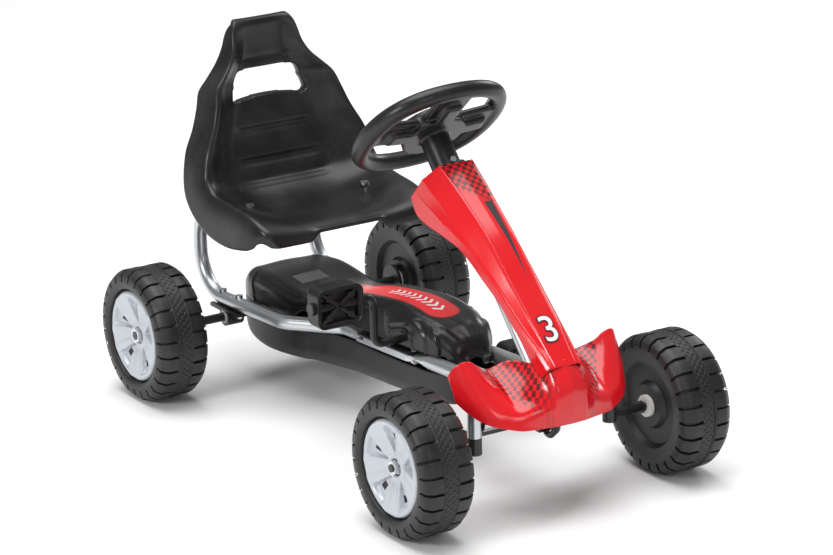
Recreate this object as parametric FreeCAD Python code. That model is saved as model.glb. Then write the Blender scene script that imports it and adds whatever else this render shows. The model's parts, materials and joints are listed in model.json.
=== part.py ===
import FreeCAD, Part
import math
import os

# Child's pedal go kart, millimetres.
# Origin on the ground under the middle of the kart. The front faces -Y, +Z is up, the driver's right is -X.

# wheels
wheel_radius = 90.0
tyre_width = 73.0
half_wheelbase = 309.0
front_wheel_x = 189.5
rear_wheel_x = 207.5
hub_cap_radius = 60.8
spoke_count = 5
bush_radius = 9.0

# rear axle and chain drive
rear_axle_radius = 6.0
crank_radius = 5.0
crank_y = -54.8
crank_z = 148.0
crank_throw = 65.0
crank_arm_x = 85.0
chain_pitch = 12.7
front_teeth = 16
rear_teeth = 12
straight_links = 29
roller_radius = 4.2
tooth_rise = 0.8

# frame tubes
tube_radius = 9.5
tube_wall = 1.5
rail_x = 89.0
front_rail_x = 40.0
rail_slope = 0.055
strap_thickness = 4.5
strap_width = 27.0
kingpin_x = 100.0
kingpin_radius = 5.0
beam_z = 118.0
sleeve_bottom = 104.0
sleeve_top = 150.0
stub_radius = 5.0

# steering
column_top = (0.0, -82.0, 400.0)
column_end = (0.0, -344.4, 105.7)
column_radius = 5.0
steer_arm = 30.0
pin_radius = 4.0
rim_radius = 92.0
rim_section = 11.5
rim_height = 31.5

# running fit between a turning piece and its bush
running_gap = 0.05
# gap between pieces that pass each other
clear_gap = 0.5

# seat
seat_wall = 4.0
seat_bolt_x = 89.0
seat_bolt_y = 247.6


def vec(x, y, z):
    return FreeCAD.Vector(x, y, z)


x_axis = vec(1, 0, 0)
y_axis = vec(0, 1, 0)
z_axis = vec(0, 0, 1)


def save(node, *solids):
    shape = solids[0] if len(solids) == 1 else Part.makeCompound(list(solids))
    shape.exportStep("parts/" + node + ".step")


def mirrored(shape):
    return shape.mirror(vec(0, 0, 0), x_axis)


def rod(start, end, radius):
    along = end - start
    return Part.makeCylinder(radius, along.Length, start, along)


def ring(start, end, outer, inner):
    return rod(start, end, outer).cut(rod(start, end, inner))


def box(low, high):
    return Part.makeBox(high[0] - low[0], high[1] - low[1], high[2] - low[2], vec(*low))


def hexagon(centre, direction, across, thickness):
    # hexagonal prism that starts at centre and grows along direction
    side = direction.cross(x_axis)
    if side.Length < 0.1:
        side = direction.cross(y_axis)
    side.normalize()
    other = direction.cross(side)
    other.normalize()
    reach = across / math.sqrt(3.0)
    corners = []
    for k in range(7):
        turn = math.radians(60.0 * k)
        corners.append(centre + side * (reach * math.cos(turn)) + other * (reach * math.sin(turn)))
    unit = vec(direction.x, direction.y, direction.z)
    unit.normalize()
    return Part.Face(Part.makePolygon(corners)).extrude(unit * thickness)


def bolt(top, down, grip, radius=3.0):
    # domed head above top, shank through the grip, hexagon nut under it
    unit = vec(down.x, down.y, down.z)
    unit.normalize()
    head = rod(top, top - unit * 3.2, radius * 2.0)
    shank = rod(top - unit * 0.5, top + unit * (grip + 6.0), radius)
    nut = hexagon(top + unit * grip, unit, radius * 3.3, 4.5)
    return head.fuse(shank).fuse(nut).removeSplitter()


def rounded_path(points, radii):
    # straight runs joined by tangent arcs, one radius for each inner point
    edges = []
    start = points[0]
    for k in range(1, len(points) - 1):
        before = points[k - 1] - points[k]
        after = points[k + 1] - points[k]
        before.normalize()
        after.normalize()
        half = before.getAngle(after) / 2.0
        reach = radii[k - 1] / math.tan(half)
        enter = points[k] + before * reach
        leave = points[k] + after * reach
        middle = before + after
        middle.normalize()
        deep = radii[k - 1] / math.sin(half) - radii[k - 1]
        edges.append(Part.makeLine(start, enter))
        edges.append(Part.Arc(enter, points[k] + middle * deep, leave).toShape())
        start = leave
    edges.append(Part.makeLine(start, points[-1]))
    return Part.Wire(edges)


def swept(path, radius):
    start = path.Edges[0]
    tangent = start.tangentAt(start.FirstParameter)
    circle = Part.Wire(Part.makeCircle(radius, start.valueAt(start.FirstParameter), tangent))
    return Part.Solid(path.makePipeShell([circle], True, True))


def tube(points, radii):
    path = rounded_path(points, radii)
    return swept(path, tube_radius).cut(swept(path, tube_radius - tube_wall))


def flat_transition(start, end):
    # round tube end pressed down to a flat tongue
    along = end - start
    circle = Part.Wire(Part.makeCircle(tube_radius, start, along))
    ellipse = Part.Ellipse()
    ellipse.MajorRadius = strap_width / 2.0
    ellipse.MinorRadius = strap_thickness / 2.0
    edge = ellipse.toShape()
    turn = FreeCAD.Rotation(x_axis, y_axis, along, "XZY")
    edge.Placement = FreeCAD.Placement(end, turn)
    return Part.makeLoft([circle, Part.Wire(edge)], True)


def tongue(start, end, thickness=strap_thickness):
    # flat tongue with a round end, width along X
    along = end - start
    along.normalize()
    normal = x_axis.cross(along)
    normal.normalize()
    half = strap_width / 2.0
    low = normal * (-thickness / 2.0)
    near = start - along * 4.0
    far = end - along * half
    corners = [near - x_axis * half, far - x_axis * half, far + x_axis * half, near + x_axis * half]
    edges = [
        Part.makeLine(corners[0] + low, corners[1] + low),
        Part.Arc(corners[1] + low, end + low, corners[2] + low).toShape(),
        Part.makeLine(corners[2] + low, corners[3] + low),
        Part.makeLine(corners[3] + low, corners[0] + low),
    ]
    return Part.Face(Part.Wire(edges)).extrude(normal * thickness)


def drill(shape, centre, direction, radius, reach=40.0):
    unit = vec(direction.x, direction.y, direction.z)
    unit.normalize()
    return shape.cut(rod(centre - unit * reach, centre + unit * reach, radius))


def rail_z(y):
    # height of the rails' centre line
    return 111.0 + rail_slope * (290.0 - y)


rail_up = vec(0, rail_slope, 1.0)
rail_up.normalize()

# where the lapped ends of the front and rear rails lie
lap_rear = 40.0
lap_front = -95.0
lap_bolt_ys = (-12.0, -80.0)
bracket_bolt_ys = (332.0, 288.0)
seat_tab_z = 245.6


def rail_point(side_x, y, lift=0.0):
    return vec(side_x, y, rail_z(y)) + rail_up * lift


def rear_tube():
    # left side: seat tongue, C-shaped riser, long rail, inward jog and flattened front tongue
    seat_end = vec(seat_bolt_x, seat_bolt_y - 16.0, seat_tab_z)
    seat_root = vec(seat_bolt_x, seat_bolt_y + 18.0, seat_tab_z)
    tube_start = vec(seat_bolt_x, seat_bolt_y + 40.0, seat_tab_z - 7.0)
    lap_root = rail_point(front_rail_x, lap_rear - 2.0, -strap_thickness / 2.0)
    tube_end = rail_point(front_rail_x, lap_rear + 20.0)
    points = [
        tube_start,
        vec(rail_x, 389.0, 238.0),
        vec(rail_x, 389.0, rail_z(389.0)),
        rail_point(rail_x, 169.0),
        rail_point(front_rail_x, 92.0),
        tube_end,
    ]
    shape = tube(points, [58.0, 58.0, 42.0, 26.0])
    shape = shape.fuse(flat_transition(tube_start, seat_root))
    shape = shape.fuse(tongue(seat_root, seat_end))
    shape = shape.fuse(flat_transition(tube_end, lap_root))
    shape = shape.fuse(tongue(lap_root, rail_point(front_rail_x, lap_front + 6.0, -strap_thickness / 2.0)))
    shape = drill(shape, vec(seat_bolt_x, seat_bolt_y, seat_tab_z), z_axis, 3.2)
    for y in lap_bolt_ys:
        shape = drill(shape, rail_point(front_rail_x, y), rail_up, 3.2)
    for y in bracket_bolt_ys:
        shape = drill(shape, rail_point(rail_x, y), rail_up, 3.2)
    return shape


def front_beam():
    reach = kingpin_x - 9.0
    beam = ring(vec(-reach, -half_wheelbase, beam_z), vec(reach, -half_wheelbase, beam_z),
                tube_radius, tube_radius - tube_wall)
    for side in (-1, 1):
        foot = vec(side * kingpin_x, -half_wheelbase, 0)
        beam = beam.cut(rod(foot, foot + z_axis * 200.0, 9.0))
    return beam


def front_rail():
    lap_root = rail_point(front_rail_x, lap_front + 2.0, strap_thickness / 2.0)
    tube_start = rail_point(front_rail_x, lap_front - 22.0)
    points = [
        tube_start,
        rail_point(front_rail_x, -238.0),
        vec(front_rail_x, -half_wheelbase, beam_z),
    ]
    shape = tube(points, [60.0])
    shape = shape.fuse(flat_transition(tube_start, lap_root))
    shape = shape.fuse(tongue(lap_root, rail_point(front_rail_x, lap_rear - 6.0, strap_thickness / 2.0)))
    for y in lap_bolt_ys:
        shape = drill(shape, rail_point(front_rail_x, y), rail_up, 3.2)
    return shape.cut(rod(vec(-100, -half_wheelbase, beam_z), vec(100, -half_wheelbase, beam_z), tube_radius))


def kingpin_sleeve():
    return ring(vec(kingpin_x, -half_wheelbase, sleeve_bottom), vec(kingpin_x, -half_wheelbase, sleeve_top),
                9.0, kingpin_radius + running_gap)


# steering axis: unit vector from the wheel down to the foot of the column
axis_top = vec(*column_top)
axis_down = vec(*column_end) - axis_top
column_length = axis_down.Length
axis_down.normalize()
# square to the column, pointing back and down
axis_back = vec(0, -axis_down.z, axis_down.y)


def on_column(down, back=0.0, side=0.0):
    return axis_top + axis_down * down + axis_back * back + x_axis * side


post_top = 58.0
post_bottom = 372.0


def steering_post():
    # tube that carries the column, notched onto the front beam and welded there
    post = ring(on_column(post_top), on_column(post_bottom), tube_radius, tube_radius - tube_wall)
    return post.cut(rod(vec(-90, -half_wheelbase, beam_z), vec(90, -half_wheelbase, beam_z), tube_radius))


def column_bush(down, flange):
    # nylon bush pressed into one end of the post; the flange lies outside it
    inner = tube_radius - tube_wall
    body = ring(on_column(down), on_column(down + flange * 18.0), inner, column_radius + running_gap)
    collar = ring(on_column(down), on_column(down - flange * 3.0), tube_radius, column_radius + running_gap)
    return body.fuse(collar).removeSplitter()


def steering_column():
    bend = 9.0
    path = rounded_path(
        [on_column(8.0), on_column(column_length), on_column(column_length, steer_arm),
         on_column(374.0, steer_arm)],
        [bend, bend])
    shape = swept(path, pin_radius)
    return shape.fuse(rod(on_column(8.0), on_column(382.0), column_radius)).removeSplitter()


def steering_rim():
    centre = on_column(-rim_height)
    rim = Part.makeTorus(rim_radius, rim_section, centre, axis_down)
    hub = rod(on_column(-rim_height - 8.0), on_column(-rim_height + 16.0), 31.0)
    sleeve = rod(on_column(-rim_height), on_column(46.0), 19.0)
    shape = rim.fuse(hub).fuse(sleeve)
    for turn in (-80.0, 80.0, 180.0):
        out = -axis_back * math.cos(math.radians(turn)) + x_axis * math.sin(math.radians(turn))
        across = axis_down.cross(out)
        half = 13.0
        low = on_column(-rim_height - 5.0) + out * 20.0
        high = on_column(-rim_height - 5.0) + out * (rim_radius - 2.0)
        corners = [low + across * 17.0, low - across * 17.0, high - across * half, high + across * half]
        corners.append(corners[0])
        shape = shape.fuse(Part.Face(Part.makePolygon(corners)).extrude(axis_down * 9.0))
    shape = shape.cut(rod(on_column(7.5), on_column(60.0), column_radius))
    shape = shape.cut(rod(on_column(28.0, -60.0), on_column(28.0, 60.0), 2.1))
    return shape


def wheel_screw():
    # screw across the sleeve that locks the wheel on the column
    shank = rod(on_column(28.0, -20.0), on_column(28.0, 20.0), 2.0)
    head = rod(on_column(28.0, -19.0), on_column(28.0, -22.0), 4.0)
    return shank.fuse(head).cut(rod(on_column(7.5), on_column(60.0), column_radius))


arm_bottom = 97.0
arm_thickness = 4.0
tie_y = -half_wheelbase + steer_arm


def knuckle():
    # left knuckle: kingpin, boss, stub axle and rearward steering arm
    foot = vec(kingpin_x, -half_wheelbase, 0)
    kingpin = rod(foot + z_axis * 84.0, foot + z_axis * 156.0, kingpin_radius)
    boss = rod(foot + z_axis * 82.0, foot + z_axis * (sleeve_bottom - clear_gap), 9.0)
    stub = rod(foot + z_axis * wheel_radius, vec(221.0, -half_wheelbase, wheel_radius), stub_radius)
    collar = rod(vec(front_wheel_x - 43.0, -half_wheelbase, wheel_radius),
                 vec(front_wheel_x - 40.0, -half_wheelbase, wheel_radius), 8.0)
    arm = box((kingpin_x - 8.0, -half_wheelbase, arm_bottom),
              (kingpin_x + 8.0, tie_y, arm_bottom + arm_thickness))
    eye = rod(vec(kingpin_x, tie_y, arm_bottom), vec(kingpin_x, tie_y, arm_bottom + arm_thickness), 8.0)
    shape = kingpin.fuse(boss).fuse(stub).fuse(collar).fuse(arm).fuse(eye)
    return drill(shape, vec(kingpin_x, tie_y, arm_bottom), z_axis, 3.0 + running_gap, 12.0).removeSplitter()


def kingpin_nut():
    foot = vec(kingpin_x, -half_wheelbase, sleeve_top + clear_gap)
    washer = rod(foot, foot + z_axis * 1.2, 8.5)
    nut = hexagon(foot + z_axis * 1.2, z_axis, 14.0, 4.0)
    return washer.fuse(nut).cut(rod(foot - z_axis * 10, foot + z_axis * 20, kingpin_radius)).removeSplitter()


def tie_bar():
    # flat bar under both steering arms, riveted to each, with an open fork for the column's pin
    top = arm_bottom - 0.3
    low = top - 4.0
    bar = box((-kingpin_x, tie_y - 8.0, low), (kingpin_x, tie_y + 8.0, top))
    for side in (-1, 1):
        bar = bar.fuse(rod(vec(side * kingpin_x, tie_y, low), vec(side * kingpin_x, tie_y, top), 8.0))
    middle_z = (top + low) / 2.0
    foot = on_column(column_length, steer_arm)
    slot_y = foot.y + (middle_z - foot.z) * axis_down.y / axis_down.z
    fork = box((-11.0, slot_y - 4.0, low), (11.0, tie_y, top))
    shape = bar.fuse(fork)
    half = pin_radius + 0.45
    slot_end = slot_y + 4.5
    shape = shape.cut(box((-half, slot_y - 20.0, low - 1), (half, slot_end, top + 1)))
    shape = shape.cut(rod(vec(0, slot_end, low - 1), vec(0, slot_end, top + 1), half))
    for side in (-1, 1):
        pin_top = arm_bottom + arm_thickness + 0.5
        pin = rod(vec(side * kingpin_x, tie_y, low), vec(side * kingpin_x, tie_y, pin_top), 3.0)
        cap_low = arm_bottom + arm_thickness + 0.3
        cap = rod(vec(side * kingpin_x, tie_y, cap_low), vec(side * kingpin_x, tie_y, cap_low + 1.6), 5.0)
        shape = shape.fuse(pin).fuse(cap)
    return shape.removeSplitter()


# wheel outlines: distance from the axle, then distance from the wheel's middle plane, outwards positive
half_tyre = tyre_width / 2.0
tyre_outline = [
    (bush_radius, -31.0), (27.0, -31.0), (31.0, -25.0), (50.0, -25.0), (55.0, -32.0), (74.0, -half_tyre),
    (83.0, -34.5), (wheel_radius, -25.0), (wheel_radius, 25.0), (83.0, 34.5), (74.0, half_tyre),
    (64.5, 34.0), (62.0, 27.0), (48.0, 25.0), (20.0, 19.0), (bush_radius, 19.0),
]
tyre_hollow = [
    (bush_radius + 5.0, -27.0), (25.0, -27.0), (29.0, -21.5), (52.0, -21.5), (57.0, -28.5),
    (74.0, -half_tyre + 3.5), (81.0, -31.0), (wheel_radius - 4.5, -23.0), (wheel_radius - 4.5, 23.0),
    (81.0, 31.0), (74.0, half_tyre - 3.5),
    (67.5, 31.0), (64.5, 23.5), (48.0, 21.5), (21.0, 15.5), (bush_radius + 5.0, 15.5),
]


def revolved(outline, centre, side):
    # outline of (radius, outward offset) turned about the axle's line
    corners = []
    for radius, out in outline + outline[:1]:
        corners.append(vec(centre.x + side * out, centre.y + radius, centre.z))
    face = Part.Face(Part.makePolygon(corners))
    return face.revolve(centre, x_axis, 360)


def tyre(centre, side):
    shape = revolved(tyre_outline, centre, side).cut(revolved(tyre_hollow, centre, side))
    return shape


def hub_cap(centre, side):
    # five flared spokes between a rim and a dished middle
    outer = 33.5
    outline = [(10.5, 19.3), (20.0, 19.3), (48.0, 25.3), (hub_cap_radius, 27.3), (hub_cap_radius, 33.0),
               (55.0, outer), (50.0, 30.5), (26.0, 27.0), (20.0, 24.0), (10.5, 24.0)]
    disc = revolved(outline, centre, side)
    for k in range(spoke_count):
        turn = 360.0 / spoke_count * k
        low = vec(centre.x + side * 17.0, centre.y - 7.0, centre.z + 29.0)
        high = vec(centre.x + side * 40.0, centre.y + 7.0, centre.z + 47.0)
        window = box((min(low.x, high.x), low.y, low.z), (max(low.x, high.x), high.y, high.z))
        window.rotate(centre, x_axis, turn)
        disc = disc.cut(window)
    return disc


def wheel_bush(centre, side, shaft_radius, gap):
    start = vec(centre.x - side * 36.0, centre.y, centre.z)
    end = vec(centre.x + side * 21.0, centre.y, centre.z)
    tube_part = ring(start, end, bush_radius, shaft_radius + gap)
    flange = ring(start, vec(start.x + side * 5.0, start.y, start.z), 14.0, shaft_radius + gap)
    return tube_part.fuse(flange).removeSplitter()


def axle_nut(centre, side, shaft_radius):
    start = vec(centre.x + side * 21.4, centre.y, centre.z)
    away = x_axis * side
    washer = rod(start, start + away * 1.6, shaft_radius + 4.0)
    nut = hexagon(start + away * 1.6, away, shaft_radius * 2.0 + 6.0, 7.0)
    return washer.fuse(nut).cut(rod(start - away * 30.0, start + away * 30.0, shaft_radius)).removeSplitter()


def crank_shaft():
    # one bent rod: right pedal pin up, left pedal pin down
    end_x = 174.0
    points = [
        vec(-end_x, crank_y, crank_z + crank_throw), vec(-crank_arm_x, crank_y, crank_z + crank_throw),
        vec(-crank_arm_x, crank_y, crank_z), vec(crank_arm_x, crank_y, crank_z),
        vec(crank_arm_x, crank_y, crank_z - crank_throw), vec(end_x, crank_y, crank_z - crank_throw),
    ]
    return swept(rounded_path(points, [12.0] * 4), crank_radius)


pedal_x = 140.0
pedal_length = 67.0
pedal_height = 53.0
pedal_depth = 26.0


def rounded_slab(centre, size, radius):
    # block with four rounded edges along Y
    low = (centre.x - size[0] / 2.0, centre.y - size[1] / 2.0, centre.z - size[2] / 2.0)
    high = (centre.x + size[0] / 2.0, centre.y + size[1] / 2.0, centre.z + size[2] / 2.0)
    slab = box(low, high)
    long_edges = [e for e in slab.Edges if abs(e.tangentAt(e.FirstParameter).y) > 0.9]
    return slab.makeFillet(radius, long_edges)


def pedal(centre):
    body = rounded_slab(centre, (pedal_length, pedal_depth, pedal_height), 9.0)
    for front in (-1, 1):
        pocket_centre = centre + y_axis * front * pedal_depth / 2.0
        pocket = rounded_slab(pocket_centre, (pedal_length - 14.0, 10.0, pedal_height - 14.0), 5.0)
        reach = math.hypot(pedal_length, pedal_height) / 2.0
        for slope in (-1, 1):
            rib = box((-reach, -6.0, -2.5), (reach, 6.0, 2.5))
            rib.rotate(vec(0, 0, 0), y_axis, slope * math.degrees(math.atan2(pedal_height, pedal_length)))
            rib.translate(pocket_centre)
            pocket = pocket.cut(rib)
        pocket = pocket.cut(rod(pocket_centre - x_axis * 40.0, pocket_centre + x_axis * 40.0, 1.0))
        body = body.cut(pocket)
    return body.cut(rod(centre - x_axis * 60.0, centre + x_axis * 60.0, crank_radius + running_gap))


def pedal_cap(centre, side):
    start = centre + x_axis * side * (pedal_length / 2.0 + clear_gap)
    cap = rod(start, start + x_axis * side * 4.0, 8.0)
    return cap.cut(rod(start - x_axis * side * 5.0, vec(side * 174.0, centre.y, centre.z), crank_radius))


def crank_bush():
    # nylon block on the lapped rails that carries the crank
    foot_z = rail_z(crank_y) + strap_thickness + 0.4
    block = box((front_rail_x - 5.0, crank_y - 11.0, foot_z), (front_rail_x + 4.0, crank_y + 11.0, crank_z))
    crown = rod(vec(front_rail_x - 5.0, crank_y, crank_z), vec(front_rail_x + 4.0, crank_y, crank_z), 11.0)
    block = block.fuse(crown)
    lap = tongue(rail_point(front_rail_x, lap_front), rail_point(front_rail_x, lap_rear), strap_thickness * 2.0)
    block = block.cut(lap)
    bore = rod(vec(0, crank_y, crank_z), vec(90, crank_y, crank_z), crank_radius + running_gap)
    return block.cut(bore).removeSplitter()


def pitch_radius(teeth):
    return chain_pitch / (2.0 * math.sin(math.pi / teeth))


front_centre = vec(0, crank_y, crank_z)
rear_centre = vec(0, half_wheelbase, wheel_radius)
line_tilt = math.atan2(rear_centre.z - front_centre.z, rear_centre.y - front_centre.y)


def circle_point(centre, radius, angle):
    return vec(0, centre.y + radius * math.cos(angle), centre.z + radius * math.sin(angle))


def sprocket_pins():
    # where the chain's pins lie on the two sprockets, and how they are turned
    front_step = 2.0 * math.pi / front_teeth
    rear_step = 2.0 * math.pi / rear_teeth
    front_start = line_tilt + math.pi - front_step * front_teeth / 4.0
    rear_start = line_tilt - rear_step * rear_teeth / 4.0
    front = []
    for k in range(front_teeth // 2 + 1):
        front.append(circle_point(front_centre, pitch_radius(front_teeth), front_start + k * front_step))
    rear = []
    for k in range(rear_teeth // 2 + 1):
        rear.append(circle_point(rear_centre, pitch_radius(rear_teeth), rear_start + k * rear_step))
    return front, rear, front_start, rear_start


def between(start, end, count):
    points = []
    for k in range(1, count):
        points.append(start + (end - start) * (k / count))
    return points


def link(first, second, offset, pin, hole):
    # one chain link: two plates, and either its rollers or its pins
    along = second - first
    tilt = math.degrees(math.atan2(along.z, along.y))
    half = 5.0
    solids = []
    for side in (-1, 1):
        low = min(side * offset, side * (offset + 1.1))
        plate = box((low, 0, -half * 0.8), (low + 1.1, along.Length, half * 0.8))
        for y in (0, along.Length):
            plate = plate.fuse(rod(vec(low, y, 0), vec(low + 1.1, y, 0), half))
        solids.append(plate)
    for y in (0, along.Length):
        solids.append(rod(vec(-offset - 0.5, y, 0), vec(offset + 0.5, y, 0), pin))
    shape = solids[0].multiFuse(solids[1:])
    if hole > 0:
        for y in (0, along.Length):
            shape = shape.cut(rod(vec(-9, y, 0), vec(9, y, 0), hole))
    shape.rotate(vec(0, 0, 0), x_axis, tilt)
    shape.translate(first)
    return shape


def chain():
    front, rear, front_start, rear_start = sprocket_pins()
    lower = between(front[-1], rear[0], straight_links)
    upper = between(rear[-1], front[0], straight_links)
    pins = front + lower + rear + upper
    links = []
    for k in range(len(pins)):
        first = pins[k]
        second = pins[(k + 1) % len(pins)]
        if k % 2 == 0:
            links.append(link(first, second, 2.4, roller_radius, 1.9))
        else:
            links.append(link(first, second, 3.7, 1.7, 0))
    return links


def sprocket(centre, teeth, start_angle, bore, hub_radius):
    radius = pitch_radius(teeth)
    disc = rod(centre - x_axis * 1.5, centre + x_axis * 1.5, radius + tooth_rise)
    for k in range(teeth):
        spot = circle_point(centre, radius, start_angle + 2.0 * math.pi * k / teeth)
        disc = disc.cut(rod(spot - x_axis * 3.0, spot + x_axis * 3.0, roller_radius + 0.5))
    disc = disc.fuse(rod(centre - x_axis * 9.0, centre + x_axis * 9.0, hub_radius))
    return disc.cut(rod(centre - x_axis * 20.0, centre + x_axis * 20.0, bore)).removeSplitter()


def rear_axle():
    end_x = 238.0
    return rod(vec(-end_x, half_wheelbase, wheel_radius), vec(end_x, half_wheelbase, wheel_radius), rear_axle_radius)


def drive_dog():
    # plate pinned to the axle, with two lugs that enter the slots in the driven wheel
    inner = rear_wheel_x - 42.0
    face = rear_wheel_x - 37.0
    plate = rod(vec(inner, half_wheelbase, wheel_radius), vec(face - 0.5, half_wheelbase, wheel_radius), 22.0)
    for side in (-1, 1):
        z = wheel_radius + side * 18.0
        lug = box((face - 1.0, half_wheelbase - 3.5, z - 2.5), (face + 7.0, half_wheelbase + 3.5, z + 2.5))
        plate = plate.fuse(lug)
    return plate.cut(rod(vec(100, half_wheelbase, wheel_radius), vec(300, half_wheelbase, wheel_radius),
                         rear_axle_radius)).removeSplitter()


def slotted(shape, centre, side):
    # two slots beside the axle on the inner face of each wheel
    for up in (-1, 1):
        z = centre.z + up * 18.0
        low_x = min(centre.x - side * 40.0, centre.x - side * 28.2)
        cutter = box((low_x, centre.y - 4.5, z - 3.2), (low_x + 11.8, centre.y + 4.5, z + 3.2))
        shape = shape.cut(cutter)
    return shape


def axle_bracket():
    # pressed saddle under the left rail that holds the axle bush
    plate_low = rail_z(half_wheelbase) - tube_radius - 2.5
    plate = box((rail_x - 13.0, 276.0, plate_low - 1.5), (rail_x + 13.0, 345.0, plate_low + 3.5))
    saddle = rod(vec(rail_x - 12.0, half_wheelbase, wheel_radius),
                 vec(rail_x + 12.0, half_wheelbase, wheel_radius), 13.0)
    shape = plate.fuse(saddle)
    rail = rod(rail_point(rail_x, 400.0), rail_point(rail_x, 200.0), tube_radius)
    above = box((0, 200, rail_z(half_wheelbase)), (200, 400, 200))
    shape = shape.cut(rail).cut(above)
    for y in bracket_bolt_ys:
        shape = drill(shape, rail_point(rail_x, y), rail_up, 3.2)
    return shape.cut(rod(vec(50, half_wheelbase, wheel_radius), vec(130, half_wheelbase, wheel_radius), 9.0))


def axle_bush():
    return ring(vec(rail_x - 14.0, half_wheelbase, wheel_radius), vec(rail_x + 14.0, half_wheelbase, wheel_radius),
                9.0, rear_axle_radius + running_gap)


def bracket_bolts(rail, bracket):
    bolts = []
    for y in bracket_bolt_ys:
        top = rail_point(rail_x, y, tube_radius - 0.4)
        shape = bolt(top, -rail_up, tube_radius * 2.0 + 4.6).cut(rail).cut(bracket)
        bolts += [shape, mirrored(shape)]
    return bolts


def lap_bolts():
    bolts = []
    for y in lap_bolt_ys:
        shape = bolt(rail_point(front_rail_x, y, strap_thickness + 3.0), -rail_up, strap_thickness * 2.0 + 3.0)
        bolts += [shape, mirrored(shape)]
    return bolts


def seat_bolts():
    top = vec(seat_bolt_x, seat_bolt_y, 258.5)
    shape = bolt(top, -z_axis, top.z - seat_tab_z + strap_thickness / 2.0)
    return [shape, mirrored(shape)]


# seat stations: centre line (y, z), lean of the surface from level, half width, side rise, rolled rim depth
seat_stations = [
    (136.0, 232.0, 84.0, 116.0, 3.0, 14.0),
    (139.0, 244.0, 60.0, 128.0, 8.0, 20.0),
    (152.0, 252.0, 20.0, 136.0, 14.0, 28.0),
    (182.0, 253.0, -4.0, 140.0, 19.0, 32.0),
    (230.0, 249.0, -2.0, 142.0, 22.0, 32.0),
    (278.0, 252.0, 16.0, 142.0, 25.0, 26.0),
    (313.0, 275.0, 55.0, 140.0, 30.0, 22.0),
    (330.0, 318.0, 76.0, 134.0, 35.0, 16.0),
    (342.0, 362.0, 77.0, 115.0, 33.0, 14.0),
    (351.0, 402.0, 78.0, 90.0, 27.0, 13.0),
    (356.0, 432.0, 84.0, 73.0, 20.0, 12.0),
    (356.0, 462.0, 90.0, 56.0, 12.0, 10.0),
    (353.0, 482.0, 96.0, 40.0, 6.0, 8.0),
]


def seat_section(station):
    y, z, lean, half, rise, roll = station
    normal = vec(0, -math.sin(math.radians(lean)), math.cos(math.radians(lean)))
    middle = vec(0, y, z)
    half_points = [(0.5, rise * 0.14), (0.72, rise * 0.62), (0.88, rise), (0.97, rise * 0.4), (1.0, -roll)]
    shape_points = [(-across, lift) for across, lift in reversed(half_points)] + [(0.0, 0.0)] + half_points
    upper = []
    lower = []
    for across, lift in shape_points:
        upper.append(middle + x_axis * (across * half) + normal * lift)
        inner_half = half - seat_wall
        edge = abs(across) > 0.99
        lower.append(middle + x_axis * (across * inner_half) + normal * (lift - (0.0 if edge else seat_wall)))
    top_curve = Part.BSplineCurve()
    top_curve.interpolate(upper)
    low_curve = Part.BSplineCurve()
    low_curve.interpolate(list(reversed(lower)))
    edges = [top_curve.toShape(), Part.makeLine(upper[-1], lower[-1]), low_curve.toShape(),
             Part.makeLine(lower[0], upper[0])]
    return Part.Wire(edges)


def seat_shell():
    shell = Part.makeLoft([seat_section(s) for s in seat_stations], True, False)
    slot_low = 372.0
    slot_high = 413.0
    low_half = 56.0
    high_half = 41.0
    corners = [vec(-low_half, 250, slot_low), vec(low_half, 250, slot_low),
               vec(high_half, 250, slot_high), vec(-high_half, 250, slot_high)]
    corners.append(corners[0])
    slot = Part.Face(Part.makePolygon(corners)).extrude(y_axis * 200.0)
    slot = slot.makeFillet(7.0, [e for e in slot.Edges if abs(e.tangentAt(e.FirstParameter).y) > 0.9])
    shell = shell.cut(slot)
    for side in (-1, 1):
        shell = drill(shell, vec(side * seat_bolt_x, seat_bolt_y, 250.0), z_axis, 3.2)
    return shell


def arch_section(y, half, low, high, round_by=16.0):
    # closed outline across the kart: upright sides and a rounded top
    points = [
        vec(-half, y, low), vec(-half, y, high - round_by), vec(-half + round_by * 0.3, y, high - round_by * 0.3),
        vec(-half + round_by, y, high), vec(half - round_by, y, high),
        vec(half - round_by * 0.3, y, high - round_by * 0.3), vec(half, y, high - round_by), vec(half, y, low),
        vec(-half, y, low),
    ]
    return Part.makePolygon(points)


# chain case upper half: y, half width, lower edge, top
upper_case_stations = [
    (346.0, 34.0, 112.0, 122.0), (336.0, 50.0, 112.0, 136.0), (316.0, 61.0, 112.0, 149.0),
    (290.0, 66.0, 112.0, 153.0), (255.0, 68.0, 112.0, 155.0), (192.0, 67.0, 112.0, 150.0),
    (166.0, 62.0, 129.0, 152.0), (120.0, 53.0, 131.0, 161.0), (60.0, 50.0, 134.6, 176.0),
    (-20.0, 49.0, 138.5, 188.0), (-70.0, 48.0, 141.5, 190.0), (-100.0, 29.0, 138.0, 182.0),
    (-128.0, 27.0, 132.0, 166.0), (-158.0, 22.0, 130.0, 150.0),
]
# chain case lower half: y, half width, top edge, bottom
lower_case_stations = [
    (346.0, 34.0, 112.0, 90.0), (336.0, 50.0, 112.0, 66.0), (316.0, 61.0, 112.0, 53.0),
    (290.0, 66.0, 112.0, 48.0), (255.0, 67.0, 112.0, 47.0), (192.0, 62.0, 112.0, 52.0),
    (166.0, 56.0, 106.0, 55.0), (120.0, 50.0, 109.0, 59.0), (60.0, 46.0, 113.0, 64.0),
    (-20.0, 45.0, 115.5, 69.0), (-100.0, 43.0, 119.5, 75.0), (-150.0, 38.0, 124.0, 82.0),
    (-172.0, 30.0, 125.0, 96.0),
]
case_wall = 2.6
flange_top = strap_thickness + 3.0
web_height = 6.0


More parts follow.
